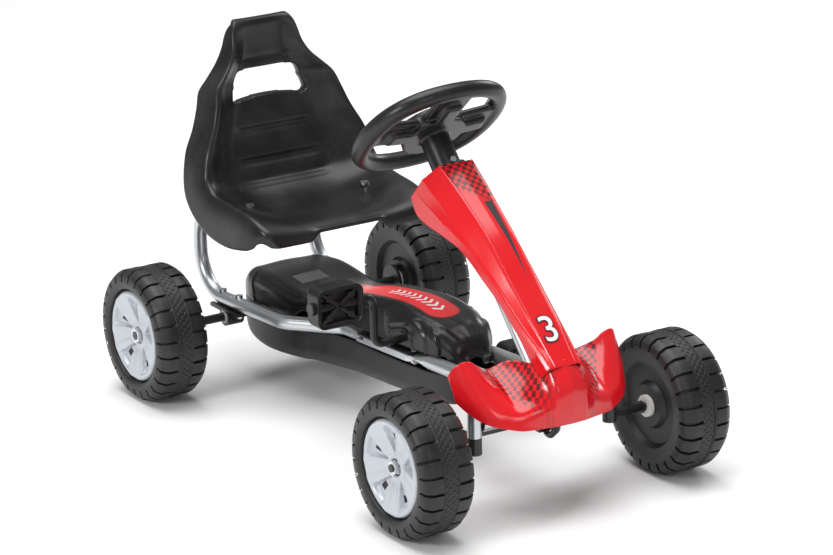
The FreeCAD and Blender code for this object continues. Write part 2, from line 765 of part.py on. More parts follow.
def upper_case():
    # each side stands on its rail by a flange, and a web joins the flange to the wall
    outer = []
    inner = []
    last = len(upper_case_stations) - 1
    for k, (y, half, low, high) in enumerate(upper_case_stations):
        curve = min(16.0, (high - low) * 0.8)
        outer.append(arch_section(y, half, low, high, curve))
        inner_y = y - case_wall if k == 0 else (y + case_wall if k == last else y)
        inner.append(arch_section(inner_y, half - case_wall, low - 1.0, high - case_wall, curve))
    shell = Part.makeLoft(outer, True, True).cut(Part.makeLoft(inner, True, True))
    for side in (-1, 1):
        flange = []
        for y in (lap_rear - 4.0, lap_front + 6.0):
            inner_x = side * 46.0
            web_x = side * 48.6
            outer_x = side * (front_rail_x + 15.5)
            flange.append(Part.makePolygon([
                rail_point(inner_x, y, strap_thickness), rail_point(outer_x, y, strap_thickness),
                rail_point(outer_x, y, flange_top), rail_point(web_x, y, flange_top),
                rail_point(web_x, y, flange_top + web_height), rail_point(inner_x, y, flange_top + web_height),
                rail_point(inner_x, y, strap_thickness)]))
        plate = Part.makeLoft(flange, True, True)
        shell = shell.fuse(plate)
    for y in lap_bolt_ys:
        for side in (-1, 1):
            head = rail_point(side * front_rail_x, y, strap_thickness - 1.0)
            shell = shell.cut(rod(head, head + rail_up * 14.0, 8.0))
    shell = shell.cut(rod(vec(-90, crank_y, crank_z), vec(90, crank_y, crank_z), crank_radius + 1.5))
    return shell


def lower_case():
    outer = []
    inner = []
    last = len(lower_case_stations) - 1
    for k, (y, half, high, low) in enumerate(lower_case_stations):
        curve = min(16.0, (high - low) * 0.8)
        outer.append(arch_section(y, half, -high, -low, curve))
        inner_y = y - case_wall if k == 0 else (y + case_wall if k == last else y)
        inner.append(arch_section(inner_y, half - case_wall, -high - 1.0, -low - case_wall, curve))
    shell = Part.makeLoft(outer, True, True).cut(Part.makeLoft(inner, True, True))
    shell = shell.mirror(vec(0, 0, 0), z_axis)
    return shell.cut(rod(vec(-90, half_wheelbase, wheel_radius), vec(90, half_wheelbase, wheel_radius),
                         rear_axle_radius + 1.5))


def case_screws():
    # short screws up through the belly into the upper half
    screws = []
    for x, y in ((55.0, 270.0), (55.0, 205.0), (25.0, 338.0)):
        shape = rod(vec(x, y, 108.0), vec(x, y, 110.0), 4.0).fuse(rod(vec(x, y, 108.0), vec(x, y, 124.0), 2.0))
        screws += [shape, mirrored(shape)]
    return screws


# column cover stations: distance down the front face, then (half width, depth behind the face's chord)
# at the face's corner, at two creases on the side, and at the side's free edge
cover_stations = [
    (0.0, (24.7, 0.0), (40.0, 25.0), (42.0, 50.0), (43.0, 60.0)),
    (22.0, (23.7, -2.5), (39.3, 22.0), (42.0, 44.0), (42.5, 69.0)),
    (45.0, (22.7, -5.0), (38.0, 18.5), (42.0, 35.5), (42.0, 61.0)),
    (65.0, (21.6, -6.5), (37.0, 16.0), (41.5, 30.0), (41.5, 49.0)),
    (85.0, (20.6, -8.0), (36.0, 14.0), (40.0, 24.0), (40.5, 38.0)),
    (105.0, (19.8, -9.3), (35.0, 12.0), (38.5, 18.0), (39.0, 28.5)),
    (130.0, (18.8, -10.0), (33.0, 10.5), (36.0, 15.0), (36.5, 24.0)),
    (160.0, (18.2, -8.5), (31.5, 9.0), (34.5, 13.0), (35.0, 21.0)),
    (200.0, (17.8, -6.0), (29.5, 7.5), (32.0, 10.5), (32.5, 17.0)),
    (245.0, (17.4, -4.4), (27.0, 5.0), (30.0, 9.0), (31.0, 17.0)),
    (285.0, (16.3, -1.5), (23.5, 2.0), (27.5, 6.5), (30.0, 19.0)),
    (308.0, (15.2, 0.0), (21.5, 1.5), (25.5, 5.5), (29.0, 18.0)),
]
cover_top = vec(0, -121.2, 390.2)
cover_foot = vec(0, -361.0, 190.5)
cover_down = cover_foot - cover_top
cover_down.normalize()
cover_out = vec(0, cover_down.z, -cover_down.y)


def channel_wire(outer, inner):
    points = outer + list(reversed(inner))
    points.append(points[0])
    return Part.makePolygon(points)


def cover_point(down, x, depth):
    return cover_top + cover_down * down + x_axis * x - cover_out * depth


def column_cover():
    # inwards and backwards step from the outer skin to the inner one, at each corner of the section
    thinning = ((1.0, 2.5), (2.2, 1.6), (2.5, 0.5), (2.5, 0.0))
    wires = []
    for down, *corners in cover_stations:
        outer = []
        inner = []
        for side in (-1, 1):
            order = range(3, -1, -1) if side < 0 else range(4)
            for k in order:
                x, depth = corners[k]
                outer.append(cover_point(down, side * x, depth))
                inner.append(cover_point(down, side * (x - thinning[k][0]), depth + thinning[k][1]))
        wires.append(channel_wire(outer, inner))
    return Part.makeLoft(wires, True, True)


# nose fairing stations from the middle outwards: x, then (y, z) points from the bottom lip to the top rear edge
nose_stations = [
    (0.0, (-374.0, 119.0), (-378.0, 145.0), (-373.0, 170.0), (-361.0, 189.5)),
    (20.0, (-373.0, 119.0), (-376.0, 145.0), (-369.0, 169.0), (-352.0, 187.0)),
    (42.0, (-368.0, 119.0), (-364.0, 143.0), (-345.0, 166.0), (-301.0, 191.0)),
    (66.0, (-363.0, 120.0), (-356.0, 140.0), (-330.0, 160.0), (-287.0, 180.0)),
    (85.0, (-353.0, 124.0), (-346.0, 142.0), (-326.0, 165.0), (-297.0, 189.0)),
    (107.0, (-334.0, 132.0), (-328.0, 152.0), (-315.0, 178.0), (-299.0, 201.0)),
    (117.0, (-320.0, 140.0), (-315.0, 157.0), (-306.0, 176.0), (-294.0, 195.0)),
    (124.0, (-302.0, 152.0), (-298.0, 161.0), (-291.0, 171.0), (-283.0, 179.0)),
]
nose_wall = 2.5


def nose_fairing(cover):
    stations = []
    for row in reversed(nose_stations[1:]):
        stations.append((-row[0],) + row[1:])
    stations += nose_stations
    wires = []
    for row in stations:
        outer = []
        inner = []
        for y, z in row[1:]:
            outer.append(vec(row[0], y, z))
            inner.append(vec(row[0], y + nose_wall, z - nose_wall * 0.4))
        wires.append(channel_wire(outer, inner))
    return Part.makeLoft(wires, True, True).cut(cover)


def cover_screws():
    # screws that hold the cover and the nose to their tabs on the post and the beam
    screws = []
    for down in (150.0, 300.0):
        start = on_column(down, -tube_radius)
        screws.append(rod(start, on_column(down, -tube_radius - 10.0), 5.0))
    return screws


def build():
    os.makedirs("parts", exist_ok=True)
    rear = rear_tube()
    save("rear_tube_left", rear)
    save("rear_tube_right", mirrored(rear))
    front = front_rail()
    save("front_rail_left", front)
    save("front_rail_right", mirrored(front))
    save("front_beam", front_beam())
    sleeve = kingpin_sleeve()
    save("kingpin_sleeve_left", sleeve)
    save("kingpin_sleeve_right", mirrored(sleeve))
    save("steering_post", steering_post())
    save("column_bush_upper", column_bush(post_top, 1))
    save("column_bush_lower", column_bush(post_bottom, -1))
    save("steering_column", steering_column())
    save("steering_wheel", steering_rim())
    save("wheel_screw", wheel_screw())
    left_knuckle = knuckle()
    save("knuckle_left", left_knuckle)
    save("knuckle_right", mirrored(left_knuckle))
    nut = kingpin_nut()
    save("kingpin_nut_left", nut)
    save("kingpin_nut_right", mirrored(nut))
    save("tie_bar", tie_bar())

    corners = (
        ("front_left", 1, front_wheel_x, -half_wheelbase, stub_radius, running_gap),
        ("front_right", -1, front_wheel_x, -half_wheelbase, stub_radius, running_gap),
        ("rear_left", 1, rear_wheel_x, half_wheelbase, rear_axle_radius, 0.0),
        ("rear_right", -1, rear_wheel_x, half_wheelbase, rear_axle_radius, running_gap),
    )
    for name, side, wheel_x, wheel_y, shaft, gap in corners:
        centre = vec(side * wheel_x, wheel_y, wheel_radius)
        save("tyre_" + name, slotted(tyre(centre, side), centre, side))
        save("hub_cap_" + name, hub_cap(centre, side))
        save("wheel_bush_" + name, wheel_bush(centre, side, shaft, gap))
        save("axle_nut_" + name, axle_nut(centre, side, shaft))

    save("rear_axle", rear_axle())
    save("drive_dog", drive_dog())
    bracket = axle_bracket()
    save("axle_bracket_left", bracket)
    save("axle_bracket_right", mirrored(bracket))
    bush = axle_bush()
    save("axle_bush_left", bush)
    save("axle_bush_right", mirrored(bush))
    save("bracket_bolts", *bracket_bolts(rear, bracket))
    save("lap_bolts", *lap_bolts())

    save("crank_shaft", crank_shaft())
    block = crank_bush()
    save("crank_bush_left", block)
    save("crank_bush_right", mirrored(block))
    for name, side, lift in (("left", 1, -crank_throw), ("right", -1, crank_throw)):
        centre = vec(side * pedal_x, crank_y, crank_z + lift)
        save("pedal_" + name, pedal(centre))
        save("pedal_cap_" + name, pedal_cap(centre, side))
    front_start, rear_start = sprocket_pins()[2:]
    save("front_sprocket", sprocket(front_centre, front_teeth, front_start, crank_radius, 10.0))
    save("rear_sprocket", sprocket(rear_centre, rear_teeth, rear_start, rear_axle_radius, 11.0))
    save("chain", *chain())

    save("chain_case_upper", upper_case())
    save("chain_case_lower", lower_case())
    save("case_screws", *case_screws())
    save("seat_shell", seat_shell())
    save("seat_bolts", *seat_bolts())
    cover = column_cover()
    save("column_cover", cover)
    save("nose_fairing", nose_fairing(cover))
    save("cover_screws", *cover_screws())


build()
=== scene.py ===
import bmesh
import bpy
import json
import math
from mathutils import Matrix, Vector


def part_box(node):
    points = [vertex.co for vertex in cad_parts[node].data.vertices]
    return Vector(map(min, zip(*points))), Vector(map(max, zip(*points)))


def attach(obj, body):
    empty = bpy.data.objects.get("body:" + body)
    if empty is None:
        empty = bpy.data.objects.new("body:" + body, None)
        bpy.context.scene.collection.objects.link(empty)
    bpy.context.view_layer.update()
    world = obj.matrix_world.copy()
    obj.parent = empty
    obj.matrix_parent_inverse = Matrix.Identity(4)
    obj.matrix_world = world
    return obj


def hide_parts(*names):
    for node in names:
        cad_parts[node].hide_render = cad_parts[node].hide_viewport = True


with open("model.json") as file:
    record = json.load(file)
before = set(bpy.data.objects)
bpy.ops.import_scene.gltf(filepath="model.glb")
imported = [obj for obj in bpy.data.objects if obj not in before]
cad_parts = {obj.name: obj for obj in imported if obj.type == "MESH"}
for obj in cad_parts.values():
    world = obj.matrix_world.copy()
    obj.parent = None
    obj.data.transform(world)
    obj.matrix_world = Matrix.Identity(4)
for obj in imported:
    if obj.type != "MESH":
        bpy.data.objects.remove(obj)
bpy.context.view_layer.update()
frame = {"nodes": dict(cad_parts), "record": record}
nodes = frame["nodes"]
mm = 0.001


def smoothRow(rows, place):  # rows are (place, value, ...), with a smooth curve through every value
    last = len(rows) - 1
    k = 0
    while k < last - 1 and place > rows[k + 1][0]:
        k += 1
    a, b = rows[k], rows[k + 1]
    before, after = rows[max(k - 1, 0)], rows[min(k + 2, last)]
    span = b[0] - a[0]
    t = min(max((place - a[0]) / span, 0.0), 1.0)
    ease = t * t * (3 - 2 * t)
    values = []
    for j in range(1, len(a)):
        slopeA = (b[j] - before[j]) / (b[0] - before[0]) * span
        slopeB = (after[j] - a[j]) / (after[0] - a[0]) * span
        hump = slopeA * t * (1 - t) ** 2 - slopeB * t * t * (1 - t)
        values.append(a[j] * (1 - ease) + b[j] * ease + hump)
    return values


def smoothStep(low, high, value):
    t = min(max((value - low) / (high - low), 0.0), 1.0)
    return t * t * (3 - 2 * t)


def ridge(distance, width):  # 1 on the line, 0 at the width and beyond
    return 1.0 - smoothStep(0.0, width, abs(distance))


def gridSheet(acrossCount, alongCount, place):  # place takes 0-1 across and 0-1 along
    bm = bmesh.new()
    bmesh.ops.create_grid(bm, x_segments=acrossCount, y_segments=alongCount, size=0.5)
    for v in bm.verts:
        v.co = place(v.co.x + 0.5, v.co.y + 0.5)
    return bm


def faceAway(bm, point):  # turns an open sheet so that its faces look away from the point
    bm.normal_update()
    total = 0.0
    for f in bm.faces:
        total += f.calc_area() * f.normal.dot((f.calc_center_median() - point).normalized())
    if total < 0:
        bmesh.ops.reverse_faces(bm, faces=bm.faces)


def addPiece(name, bm, material, body, replaced=(), closed=True):
    if closed:
        bmesh.ops.remove_doubles(bm, verts=bm.verts, dist=1e-6)
        bmesh.ops.recalc_face_normals(bm, faces=bm.faces)
    mesh = bpy.data.meshes.new(name)
    bm.to_mesh(mesh)
    bm.free()
    for polygon in mesh.polygons:
        polygon.use_smooth = True
    mesh.materials.append(material)
    piece = bpy.data.objects.new(name, mesh)
    bpy.context.scene.collection.objects.link(piece)
    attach(piece, body)
    if replaced:
        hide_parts(*replaced)
    return piece


def addWall(piece, thickness):
    wall = piece.modifiers.new("wall", "SOLIDIFY")
    wall.thickness = thickness
    wall.offset = -1.0


def addSmooth(piece, levels):
    smooth = piece.modifiers.new("smooth", "SUBSURF")
    smooth.levels = levels
    smooth.render_levels = levels


def addEdge(piece, width, angle):
    edge = piece.modifiers.new("edge", "BEVEL")
    edge.width = width
    edge.segments = 2
    edge.limit_method = "ANGLE"
    edge.angle_limit = math.radians(angle)
    edge.harden_normals = True


cameraSet = {"place": (-2.3279, -3.7611, 1.6427), "turn": -31.75, "lift": 18.30, "roll": -1.36,
             "lens": 156.04, "shift": (0.0113, 0.0243)}


def buildCamera():
    turn = math.radians(cameraSet["turn"])
    lift = math.radians(cameraSet["lift"])
    roll = math.radians(cameraSet["roll"])
    back = Vector((math.sin(turn) * math.cos(lift), -math.cos(turn) * math.cos(lift), math.sin(lift)))
    right = Vector((math.cos(turn), math.sin(turn), 0.0))
    up = back.cross(right)
    rolledRight = right * math.cos(roll) + up * math.sin(roll)
    rolledUp = up * math.cos(roll) - right * math.sin(roll)
    data = bpy.data.cameras.new("camera")
    data.lens = cameraSet["lens"]
    data.sensor_width = 36.0
    data.shift_x, data.shift_y = cameraSet["shift"]
    camera = bpy.data.objects.new("camera", data)
    turned = Matrix((rolledRight, rolledUp, back)).transposed().to_4x4()
    camera.matrix_world = Matrix.Translation(cameraSet["place"]) @ turned
    bpy.context.scene.collection.objects.link(camera)
    bpy.context.scene.camera = camera


lightSet = [
    {"name": "topLight", "place": (-0.2, 0.4, 4.6), "size": 4.4, "power": 250.0},
    {"name": "leftLight", "place": (-2.6, -0.6, 1.5), "size": 0.7, "power": 30.0},
    {"name": "frontLight", "place": (-0.6, -3.2, 1.5), "size": 1.0, "power": 10.0},
    {"name": "rightLight", "place": (2.4, 0.9, 1.7), "size": 1.0, "power": 20.0},
]


def buildLights():
    for entry in lightSet:
        data = bpy.data.lights.new(entry["name"], "AREA")
        data.size = entry["size"]
        data.energy = entry["power"]
        light = bpy.data.objects.new(entry["name"], data)
        light.location = entry["place"]
        aim = Vector((0.0, 0.0, 0.2)) - Vector(entry["place"])
        light.rotation_euler = aim.to_track_quat("-Z", "Y").to_euler()
        bpy.context.scene.collection.objects.link(light)
    world = bpy.data.worlds.new("softWorld")
    world.use_nodes = True
    world.node_tree.nodes["Background"].inputs["Color"].default_value = (1.0, 1.0, 1.0, 1.0)
    world.node_tree.nodes["Background"].inputs["Strength"].default_value = 0.30
    bpy.context.scene.world = world
    bpy.context.scene.view_settings.view_transform = "Standard"


def addNode(tree, kind, inputs=None, **settings):
    node = tree.nodes.new(kind)
    for key, value in settings.items():
        setattr(node, key, value)
    for key, value in (inputs or {}).items():
        if isinstance(value, bpy.types.NodeSocket):
            tree.links.new(value, node.inputs[key])
        else:
            node.inputs[key].default_value = value
    return node


def calc(tree, operation, a, b=0.0, c=0.0):
    return addNode(tree, "ShaderNodeMath", {0: a, 1: b, 2: c}, operation=operation).outputs[0]


def stepMask(tree, value, low, high):  # 0 at low, 1 at high
    node = addNode(tree, "ShaderNodeMapRange", {"Value": value, "From Min": low, "From Max": high})
    return node.outputs["Result"]


def mixColor(tree, factor, a, b):
    node = addNode(tree, "ShaderNodeMix", data_type="RGBA")
    for socket, value in ((node.inputs[0], factor), (node.inputs[6], a), (node.inputs[7], b)):
        if isinstance(value, bpy.types.NodeSocket):
            tree.links.new(value, socket)
        else:
            socket.default_value = value
    return node.outputs[2]


def objectPoint(tree):
    return addNode(tree, "ShaderNodeTexCoord").outputs["Object"]


def startGroup(name, inputs, outputs):
    group = bpy.data.node_groups.new(name, "ShaderNodeTree")
    for label, kind, value in inputs:
        group.interface.new_socket(label, in_out="INPUT", socket_type=kind).default_value = value
    for label, kind in outputs:
        group.interface.new_socket(label, in_out="OUTPUT", socket_type=kind)
    return group, group.nodes.new("NodeGroupInput"), group.nodes.new("NodeGroupOutput")


def makeHandling():  # colour and gloss that drift a little, with faint dust and rub marks
    group, given, result = startGroup(
        "handling",
        [("Color", "NodeSocketColor", (0.5, 0.5, 0.5, 1.0)),
         ("Dust Color", "NodeSocketColor", (0.6, 0.58, 0.55, 1.0)),
         ("Dust", "NodeSocketFloat", 0.05), ("Scale", "NodeSocketFloat", 30.0),
         ("Roughness", "NodeSocketFloat", 0.4), ("Spread", "NodeSocketFloat", 0.08)],
        [("Color", "NodeSocketColor"), ("Roughness", "NodeSocketFloat")])
    point = objectPoint(group)
    cloud = addNode(group, "ShaderNodeTexNoise", {"Vector": point, "Scale": given.outputs["Scale"],
                                                  "Detail": 5.0})
    streak = addNode(group, "ShaderNodeTexNoise", {"Vector": point, "Scale": 190.0, "Detail": 3.0,
                                                   "Roughness": 0.7})
    drift = calc(group, "MULTIPLY_ADD", cloud.outputs["Fac"], 1.0, -0.5)
    dusty = calc(group, "MULTIPLY", stepMask(group, cloud.outputs["Fac"], 0.42, 0.75), streak.outputs["Fac"])
    amount = calc(group, "MULTIPLY", dusty, given.outputs["Dust"])
    group.links.new(mixColor(group, amount, given.outputs["Color"], given.outputs["Dust Color"]),
                    result.inputs["Color"])
    rough = calc(group, "MULTIPLY_ADD", drift, given.outputs["Spread"], given.outputs["Roughness"])
    group.links.new(calc(group, "ADD", rough, calc(group, "MULTIPLY", amount, 0.6)), result.inputs["Roughness"])
    return group


def makeGrain():  # moulded skin: fine grain over slow waviness
    group, given, result = startGroup(
        "mouldGrain",
        [("Scale", "NodeSocketFloat", 900.0), ("Wave", "NodeSocketFloat", 0.4)],
        [("Height", "NodeSocketFloat")])
    point = objectPoint(group)
    fine = addNode(group, "ShaderNodeTexNoise", {"Vector": point, "Scale": given.outputs["Scale"],
                                                 "Detail": 2.0})
    slow = addNode(group, "ShaderNodeTexNoise", {"Vector": point, "Scale": 24.0, "Detail": 1.0})
    height = calc(group, "MULTIPLY_ADD", slow.outputs["Fac"], given.outputs["Wave"], fine.outputs["Fac"])
    group.links.new(height, result.inputs["Height"])
    return group


cloudScale = 22.0  # clouds of wear to the metre
handlingGroup = makeHandling()
grainGroup = makeGrain()


def finishMaterial(name, color, look, uniform=None, decal=None):
    material = bpy.data.materials.new(name)
    material.use_nodes = True
    tree = material.node_tree
    tree.nodes.clear()
    shader = addNode(tree, "ShaderNodeBsdfPrincipled", uniform or {})
    output = addNode(tree, "ShaderNodeOutputMaterial")
    tree.links.new(shader.outputs[0], output.inputs[0])
    shown = (*color, 1.0)
    if decal:
        shown = decal(tree, shown)
    group = addNode(tree, "ShaderNodeGroup")
    group.node_tree = handlingGroup
    for key, value in (("Dust", look["dust"]), ("Roughness", look["rough"]),
                       ("Spread", look.get("spread", 0.08)),
                       ("Scale", cloudScale)):
        group.inputs[key].default_value = value
    if isinstance(shown, bpy.types.NodeSocket):
        tree.links.new(shown, group.inputs["Color"])
    else:
        group.inputs["Color"].default_value = shown
    tree.links.new(group.outputs["Color"], shader.inputs["Base Color"])
    tree.links.new(group.outputs["Roughness"], shader.inputs["Roughness"])
    grain = addNode(tree, "ShaderNodeGroup")
    grain.node_tree = grainGroup
    grain.inputs["Scale"].default_value = look["grain"]
    grain.inputs["Wave"].default_value = look.get("wave", 0.4)
    bump = addNode(tree, "ShaderNodeBump", {"Height": grain.outputs["Height"], "Strength": look["bump"],
                                            "Distance": look.get("deep", 0.0003)})
    tree.links.new(bump.outputs["Normal"], shader.inputs["Normal"])
    return material


blackPlastic = (0.007, 0.007, 0.008)
redPlastic = (0.70, 0.006, 0.012)

coverSet = {"top": Vector((0.0, -0.1212, 0.3902)), "foot": Vector((0.0, -0.361, 0.1905)), "wall": 0.0025,
            "crease": 1.6,
            "checkSize": 0.0058, "spikeFrom": 0.068, "spikeTo": 0.188}
coverDown = (coverSet["foot"] - coverSet["top"]).normalized()
coverOut = Vector((0.0, coverDown.z, -coverDown.y))


def checkMask(tree, u, v, size):  # 1 on every other square
    a = calc(tree, "FLOOR", calc(tree, "DIVIDE", u, size))
    b = calc(tree, "FLOOR", calc(tree, "DIVIDE", v, size))
    return calc(tree, "PINGPONG", calc(tree, "ADD", a, b), 1.0)


def coverDecal(tree, color):
    split = addNode(tree, "ShaderNodeSeparateXYZ", {"Vector": objectPoint(tree)})
    x = split.outputs["X"]
    down = addNode(tree, "ShaderNodeVectorMath", {0: objectPoint(tree), 1: coverDown}, operation="DOT_PRODUCT")
    t = calc(tree, "SUBTRACT", down.outputs["Value"], coverSet["top"].dot(coverDown))
    half = calc(tree, "MULTIPLY_ADD", t, -0.05, 0.0238)
    onFace = calc(tree, "LESS_THAN", calc(tree, "ABSOLUTE", x), half)
    reach = calc(tree, "MULTIPLY_ADD", x, 0.75, 0.058)
    upper = calc(tree, "SUBTRACT", 1.0, stepMask(tree, calc(tree, "SUBTRACT", t, reach), -0.010, 0.004))
    checks = calc(tree, "MULTIPLY", checkMask(tree, calc(tree, "ADD", x, 1.0), calc(tree, "ADD", t, 1.0),
                                              coverSet["checkSize"]), upper)
    middle = calc(tree, "MULTIPLY_ADD", t, -0.02, 0.0115)
    along = stepMask(tree, t, coverSet["spikeTo"], coverSet["spikeFrom"])
    width = calc(tree, "MULTIPLY", along, 0.0058)
    inSpike = calc(tree, "LESS_THAN", calc(tree, "ABSOLUTE", calc(tree, "SUBTRACT", x, middle)), width)
    inSpike = calc(tree, "MULTIPLY", inSpike, calc(tree, "GREATER_THAN", t, coverSet["spikeFrom"]))
    shown = mixColor(tree, calc(tree, "MULTIPLY", calc(tree, "MULTIPLY", checks, onFace), 0.9), color,
                     (0.05, 0.008, 0.010, 1.0))
    return mixColor(tree, calc(tree, "MULTIPLY", inSpike, onFace), shown, (0.045, 0.040, 0.045, 1.0))


def noseDecal(tree, color):
    split = addNode(tree, "ShaderNodeSeparateXYZ", {"Vector": objectPoint(tree)})
    x = calc(tree, "ABSOLUTE", split.outputs["X"])
    y = split.outputs["Y"]
    slant = calc(tree, "ADD", x, calc(tree, "MULTIPLY_ADD", y, 1.0, 1.0))
    other = calc(tree, "SUBTRACT", calc(tree, "ADD", x, 1.0), calc(tree, "MULTIPLY_ADD", y, 1.0, 1.0))
    checks = checkMask(tree, slant, calc(tree, "ADD", other, 1.0), 0.0068)
    inner = calc(tree, "GREATER_THAN", x, calc(tree, "MULTIPLY_ADD", y, 0.20, 0.089))
    outer = calc(tree, "LESS_THAN", x, calc(tree, "MULTIPLY_ADD", y, 0.62, 0.272))
    fade = stepMask(tree, y, -0.376, -0.352)
    mask = calc(tree, "MULTIPLY", calc(tree, "MULTIPLY", inner, outer), calc(tree, "MULTIPLY", fade, checks))
    return mixColor(tree, calc(tree, "MULTIPLY", mask, 0.88), color, (0.05, 0.008, 0.010, 1.0))


caseSet = {"stripFrom": 0.155, "stripTo": -0.088, "stripHalf": 0.0215, "stripX": -0.004}


def caseDecal(tree, color):
    split = addNode(tree, "ShaderNodeSeparateXYZ", {"Vector": objectPoint(tree)})
    x = calc(tree, "SUBTRACT", split.outputs["X"], caseSet["stripX"])
    y = split.outputs["Y"]
    z = split.outputs["Z"]
    ahead = calc(tree, "MAXIMUM", calc(tree, "SUBTRACT", caseSet["stripTo"], y), 0.0)
    away = addNode(tree, "ShaderNodeCombineXYZ", {"X": x, "Y": ahead})
    distance = addNode(tree, "ShaderNodeVectorMath", {0: away.outputs[0]}, operation="LENGTH").outputs["Value"]
    onTop = calc(tree, "GREATER_THAN", z, calc(tree, "MULTIPLY_ADD", y, -0.03, 0.149))
    behind = calc(tree, "LESS_THAN", calc(tree, "SUBTRACT", y, calc(tree, "MULTIPLY", x, 0.8)),
                  caseSet["stripFrom"])
    keep = calc(tree, "MULTIPLY", onTop, behind)
    strip = calc(tree, "MULTIPLY", calc(tree, "LESS_THAN", distance, caseSet["stripHalf"]), keep)
    border = calc(tree, "MULTIPLY", calc(tree, "LESS_THAN", distance, caseSet["stripHalf"] + 0.0022), keep)
    bars = calc(tree, "SUBTRACT", y, calc(tree, "MULTIPLY", calc(tree, "ABSOLUTE", x), 0.9))
    wave = calc(tree, "FRACT", calc(tree, "DIVIDE", calc(tree, "ADD", bars, 1.0), 0.013))
    chevron = calc(tree, "LESS_THAN", wave, 0.38)
    place = calc(tree, "MULTIPLY", calc(tree, "GREATER_THAN", y, -0.090), calc(tree, "LESS_THAN", y, 0.030))
    slim = calc(tree, "LESS_THAN", calc(tree, "ABSOLUTE", x), 0.0085)
    chevron = calc(tree, "MULTIPLY", chevron, calc(tree, "MULTIPLY", place, slim))
    shown = mixColor(tree, border, color, (0.30, 0.010, 0.012, 1.0))
    shown = mixColor(tree, strip, shown, (0.76, 0.022, 0.026, 1.0))
    shown = mixColor(tree, calc(tree, "MULTIPLY", chevron, strip), shown, (0.82, 0.82, 0.82, 1.0))
    plateX = calc(tree, "LESS_THAN", calc(tree, "ABSOLUTE", calc(tree, "ADD", x, 0.010)), 0.021)
    plateY = calc(tree, "LESS_THAN", calc(tree, "ABSOLUTE", calc(tree, "SUBTRACT", y, 0.222)), 0.014)
    plate = calc(tree, "MULTIPLY", calc(tree, "MULTIPLY", plateX, plateY), onTop)
    return mixColor(tree, plate, shown, (0.30, 0.30, 0.31, 1.0))


satin = {"dust": 0.05, "rough": 0.36, "grain": 1400.0, "bump": 0.22, "deep": 0.0002}
gloss = {"dust": 0.02, "rough": 0.17, "spread": 0.04, "grain": 300.0, "bump": 0.05, "wave": 0.8}
metalLook = {"dust": 0.06, "rough": 0.30, "spread": 0.10, "grain": 700.0, "bump": 0.08}
coat = {"Coat Weight": 0.20, "Coat Roughness": 0.12}

materials = {
    "seat": finishMaterial("seatSatin", blackPlastic, dict(satin, rough=0.31), {"Specular IOR Level": 0.42}),
    "wheel": finishMaterial("wheelSatin", (0.008, 0.008, 0.009), dict(satin, rough=0.33),
                            {"Specular IOR Level": 0.42}),
    "case": finishMaterial("caseGloss", (0.006, 0.006, 0.007), dict(satin, rough=0.24),
                           {"Specular IOR Level": 0.42}, caseDecal),
    "belly": finishMaterial("bellySatin", (0.010, 0.010, 0.012), dict(satin, rough=0.40),
                            {"Specular IOR Level": 0.40}),
    "pedal": finishMaterial("pedalSatin", (0.007, 0.007, 0.008), dict(satin, rough=0.32),
                            {"Specular IOR Level": 0.40}),
    "tyre": finishMaterial("tyreSkin", (0.008, 0.008, 0.009), dict(satin, dust=0.05, rough=0.44, bump=0.35)),
    "hub": finishMaterial("hubSilver", (0.50, 0.535, 0.575), dict(gloss, rough=0.33, grain=900.0),
                          {"Metallic": 0.25}),
    "cover": finishMaterial("coverRed", redPlastic, gloss, coat, coverDecal),
    "nose": finishMaterial("noseRed", redPlastic, gloss, coat, noseDecal),
    "tube": finishMaterial("tubeSilver", (0.58, 0.60, 0.62), metalLook, {"Metallic": 0.85}),
    "zinc": finishMaterial("zincPlate", (0.66, 0.68, 0.70), dict(metalLook, rough=0.26), {"Metallic": 1.0}),
    "rod": finishMaterial("rodBlack", (0.012, 0.012, 0.012), dict(metalLook, rough=0.33),
                          {"Specular IOR Level": 0.5}),
    "chain": finishMaterial("chainOil", (0.20, 0.19, 0.18), dict(metalLook, rough=0.35), {"Metallic": 1.0}),
    "nylon": finishMaterial("nylonWhite", (0.78, 0.78, 0.76), dict(satin, rough=0.45)),
    "trim": finishMaterial("trimBlack", (0.016, 0.016, 0.017), dict(satin, rough=0.42)),
    "white": finishMaterial("numberWhite", (0.86, 0.86, 0.86), dict(gloss, rough=0.25)),
    "ink": finishMaterial("numberInk", (0.03, 0.03, 0.032), dict(gloss, rough=0.3)),
    "floor": finishMaterial("floorPaper", (0.90, 0.90, 0.90), dict(satin, rough=0.8, bump=0.02, dust=0.0)),
}


def buildFloor():
    bm = bmesh.new()
    bmesh.ops.create_grid(bm, x_segments=2, y_segments=2, size=14.0)
    mesh = bpy.data.meshes.new("floor")
    bm.to_mesh(mesh)
    bm.free()
    mesh.materials.append(materials["floor"])
    floor = bpy.data.objects.new("floor", mesh)
    bpy.context.scene.collection.objects.link(floor)


buildCamera()
buildLights()
buildFloor()
print("stage: camera, lights, floor")

slotLook = {"nylon": "nylon", "silver_tube": "tube", "black_steel": "rod", "chain_steel": "chain",
            "zinc": "zinc",
            "black_plastic": "trim", "tyre_plastic": "tyre", "hub_silver": "hub", "red_plastic": "cover",
            "seat_plastic": "seat", "wheel_plastic": "wheel", "pedal_plastic": "pedal"}
for entry in frame["record"]["subparts"]:
    part = nodes[entry["node"]]
    part.data.materials.clear()
    look = "rod" if entry["node"].startswith("pedal_cap") else slotLook[entry["material_slot"]]
    part.data.materials.append(materials[look])
print("stage: carried-over parts")

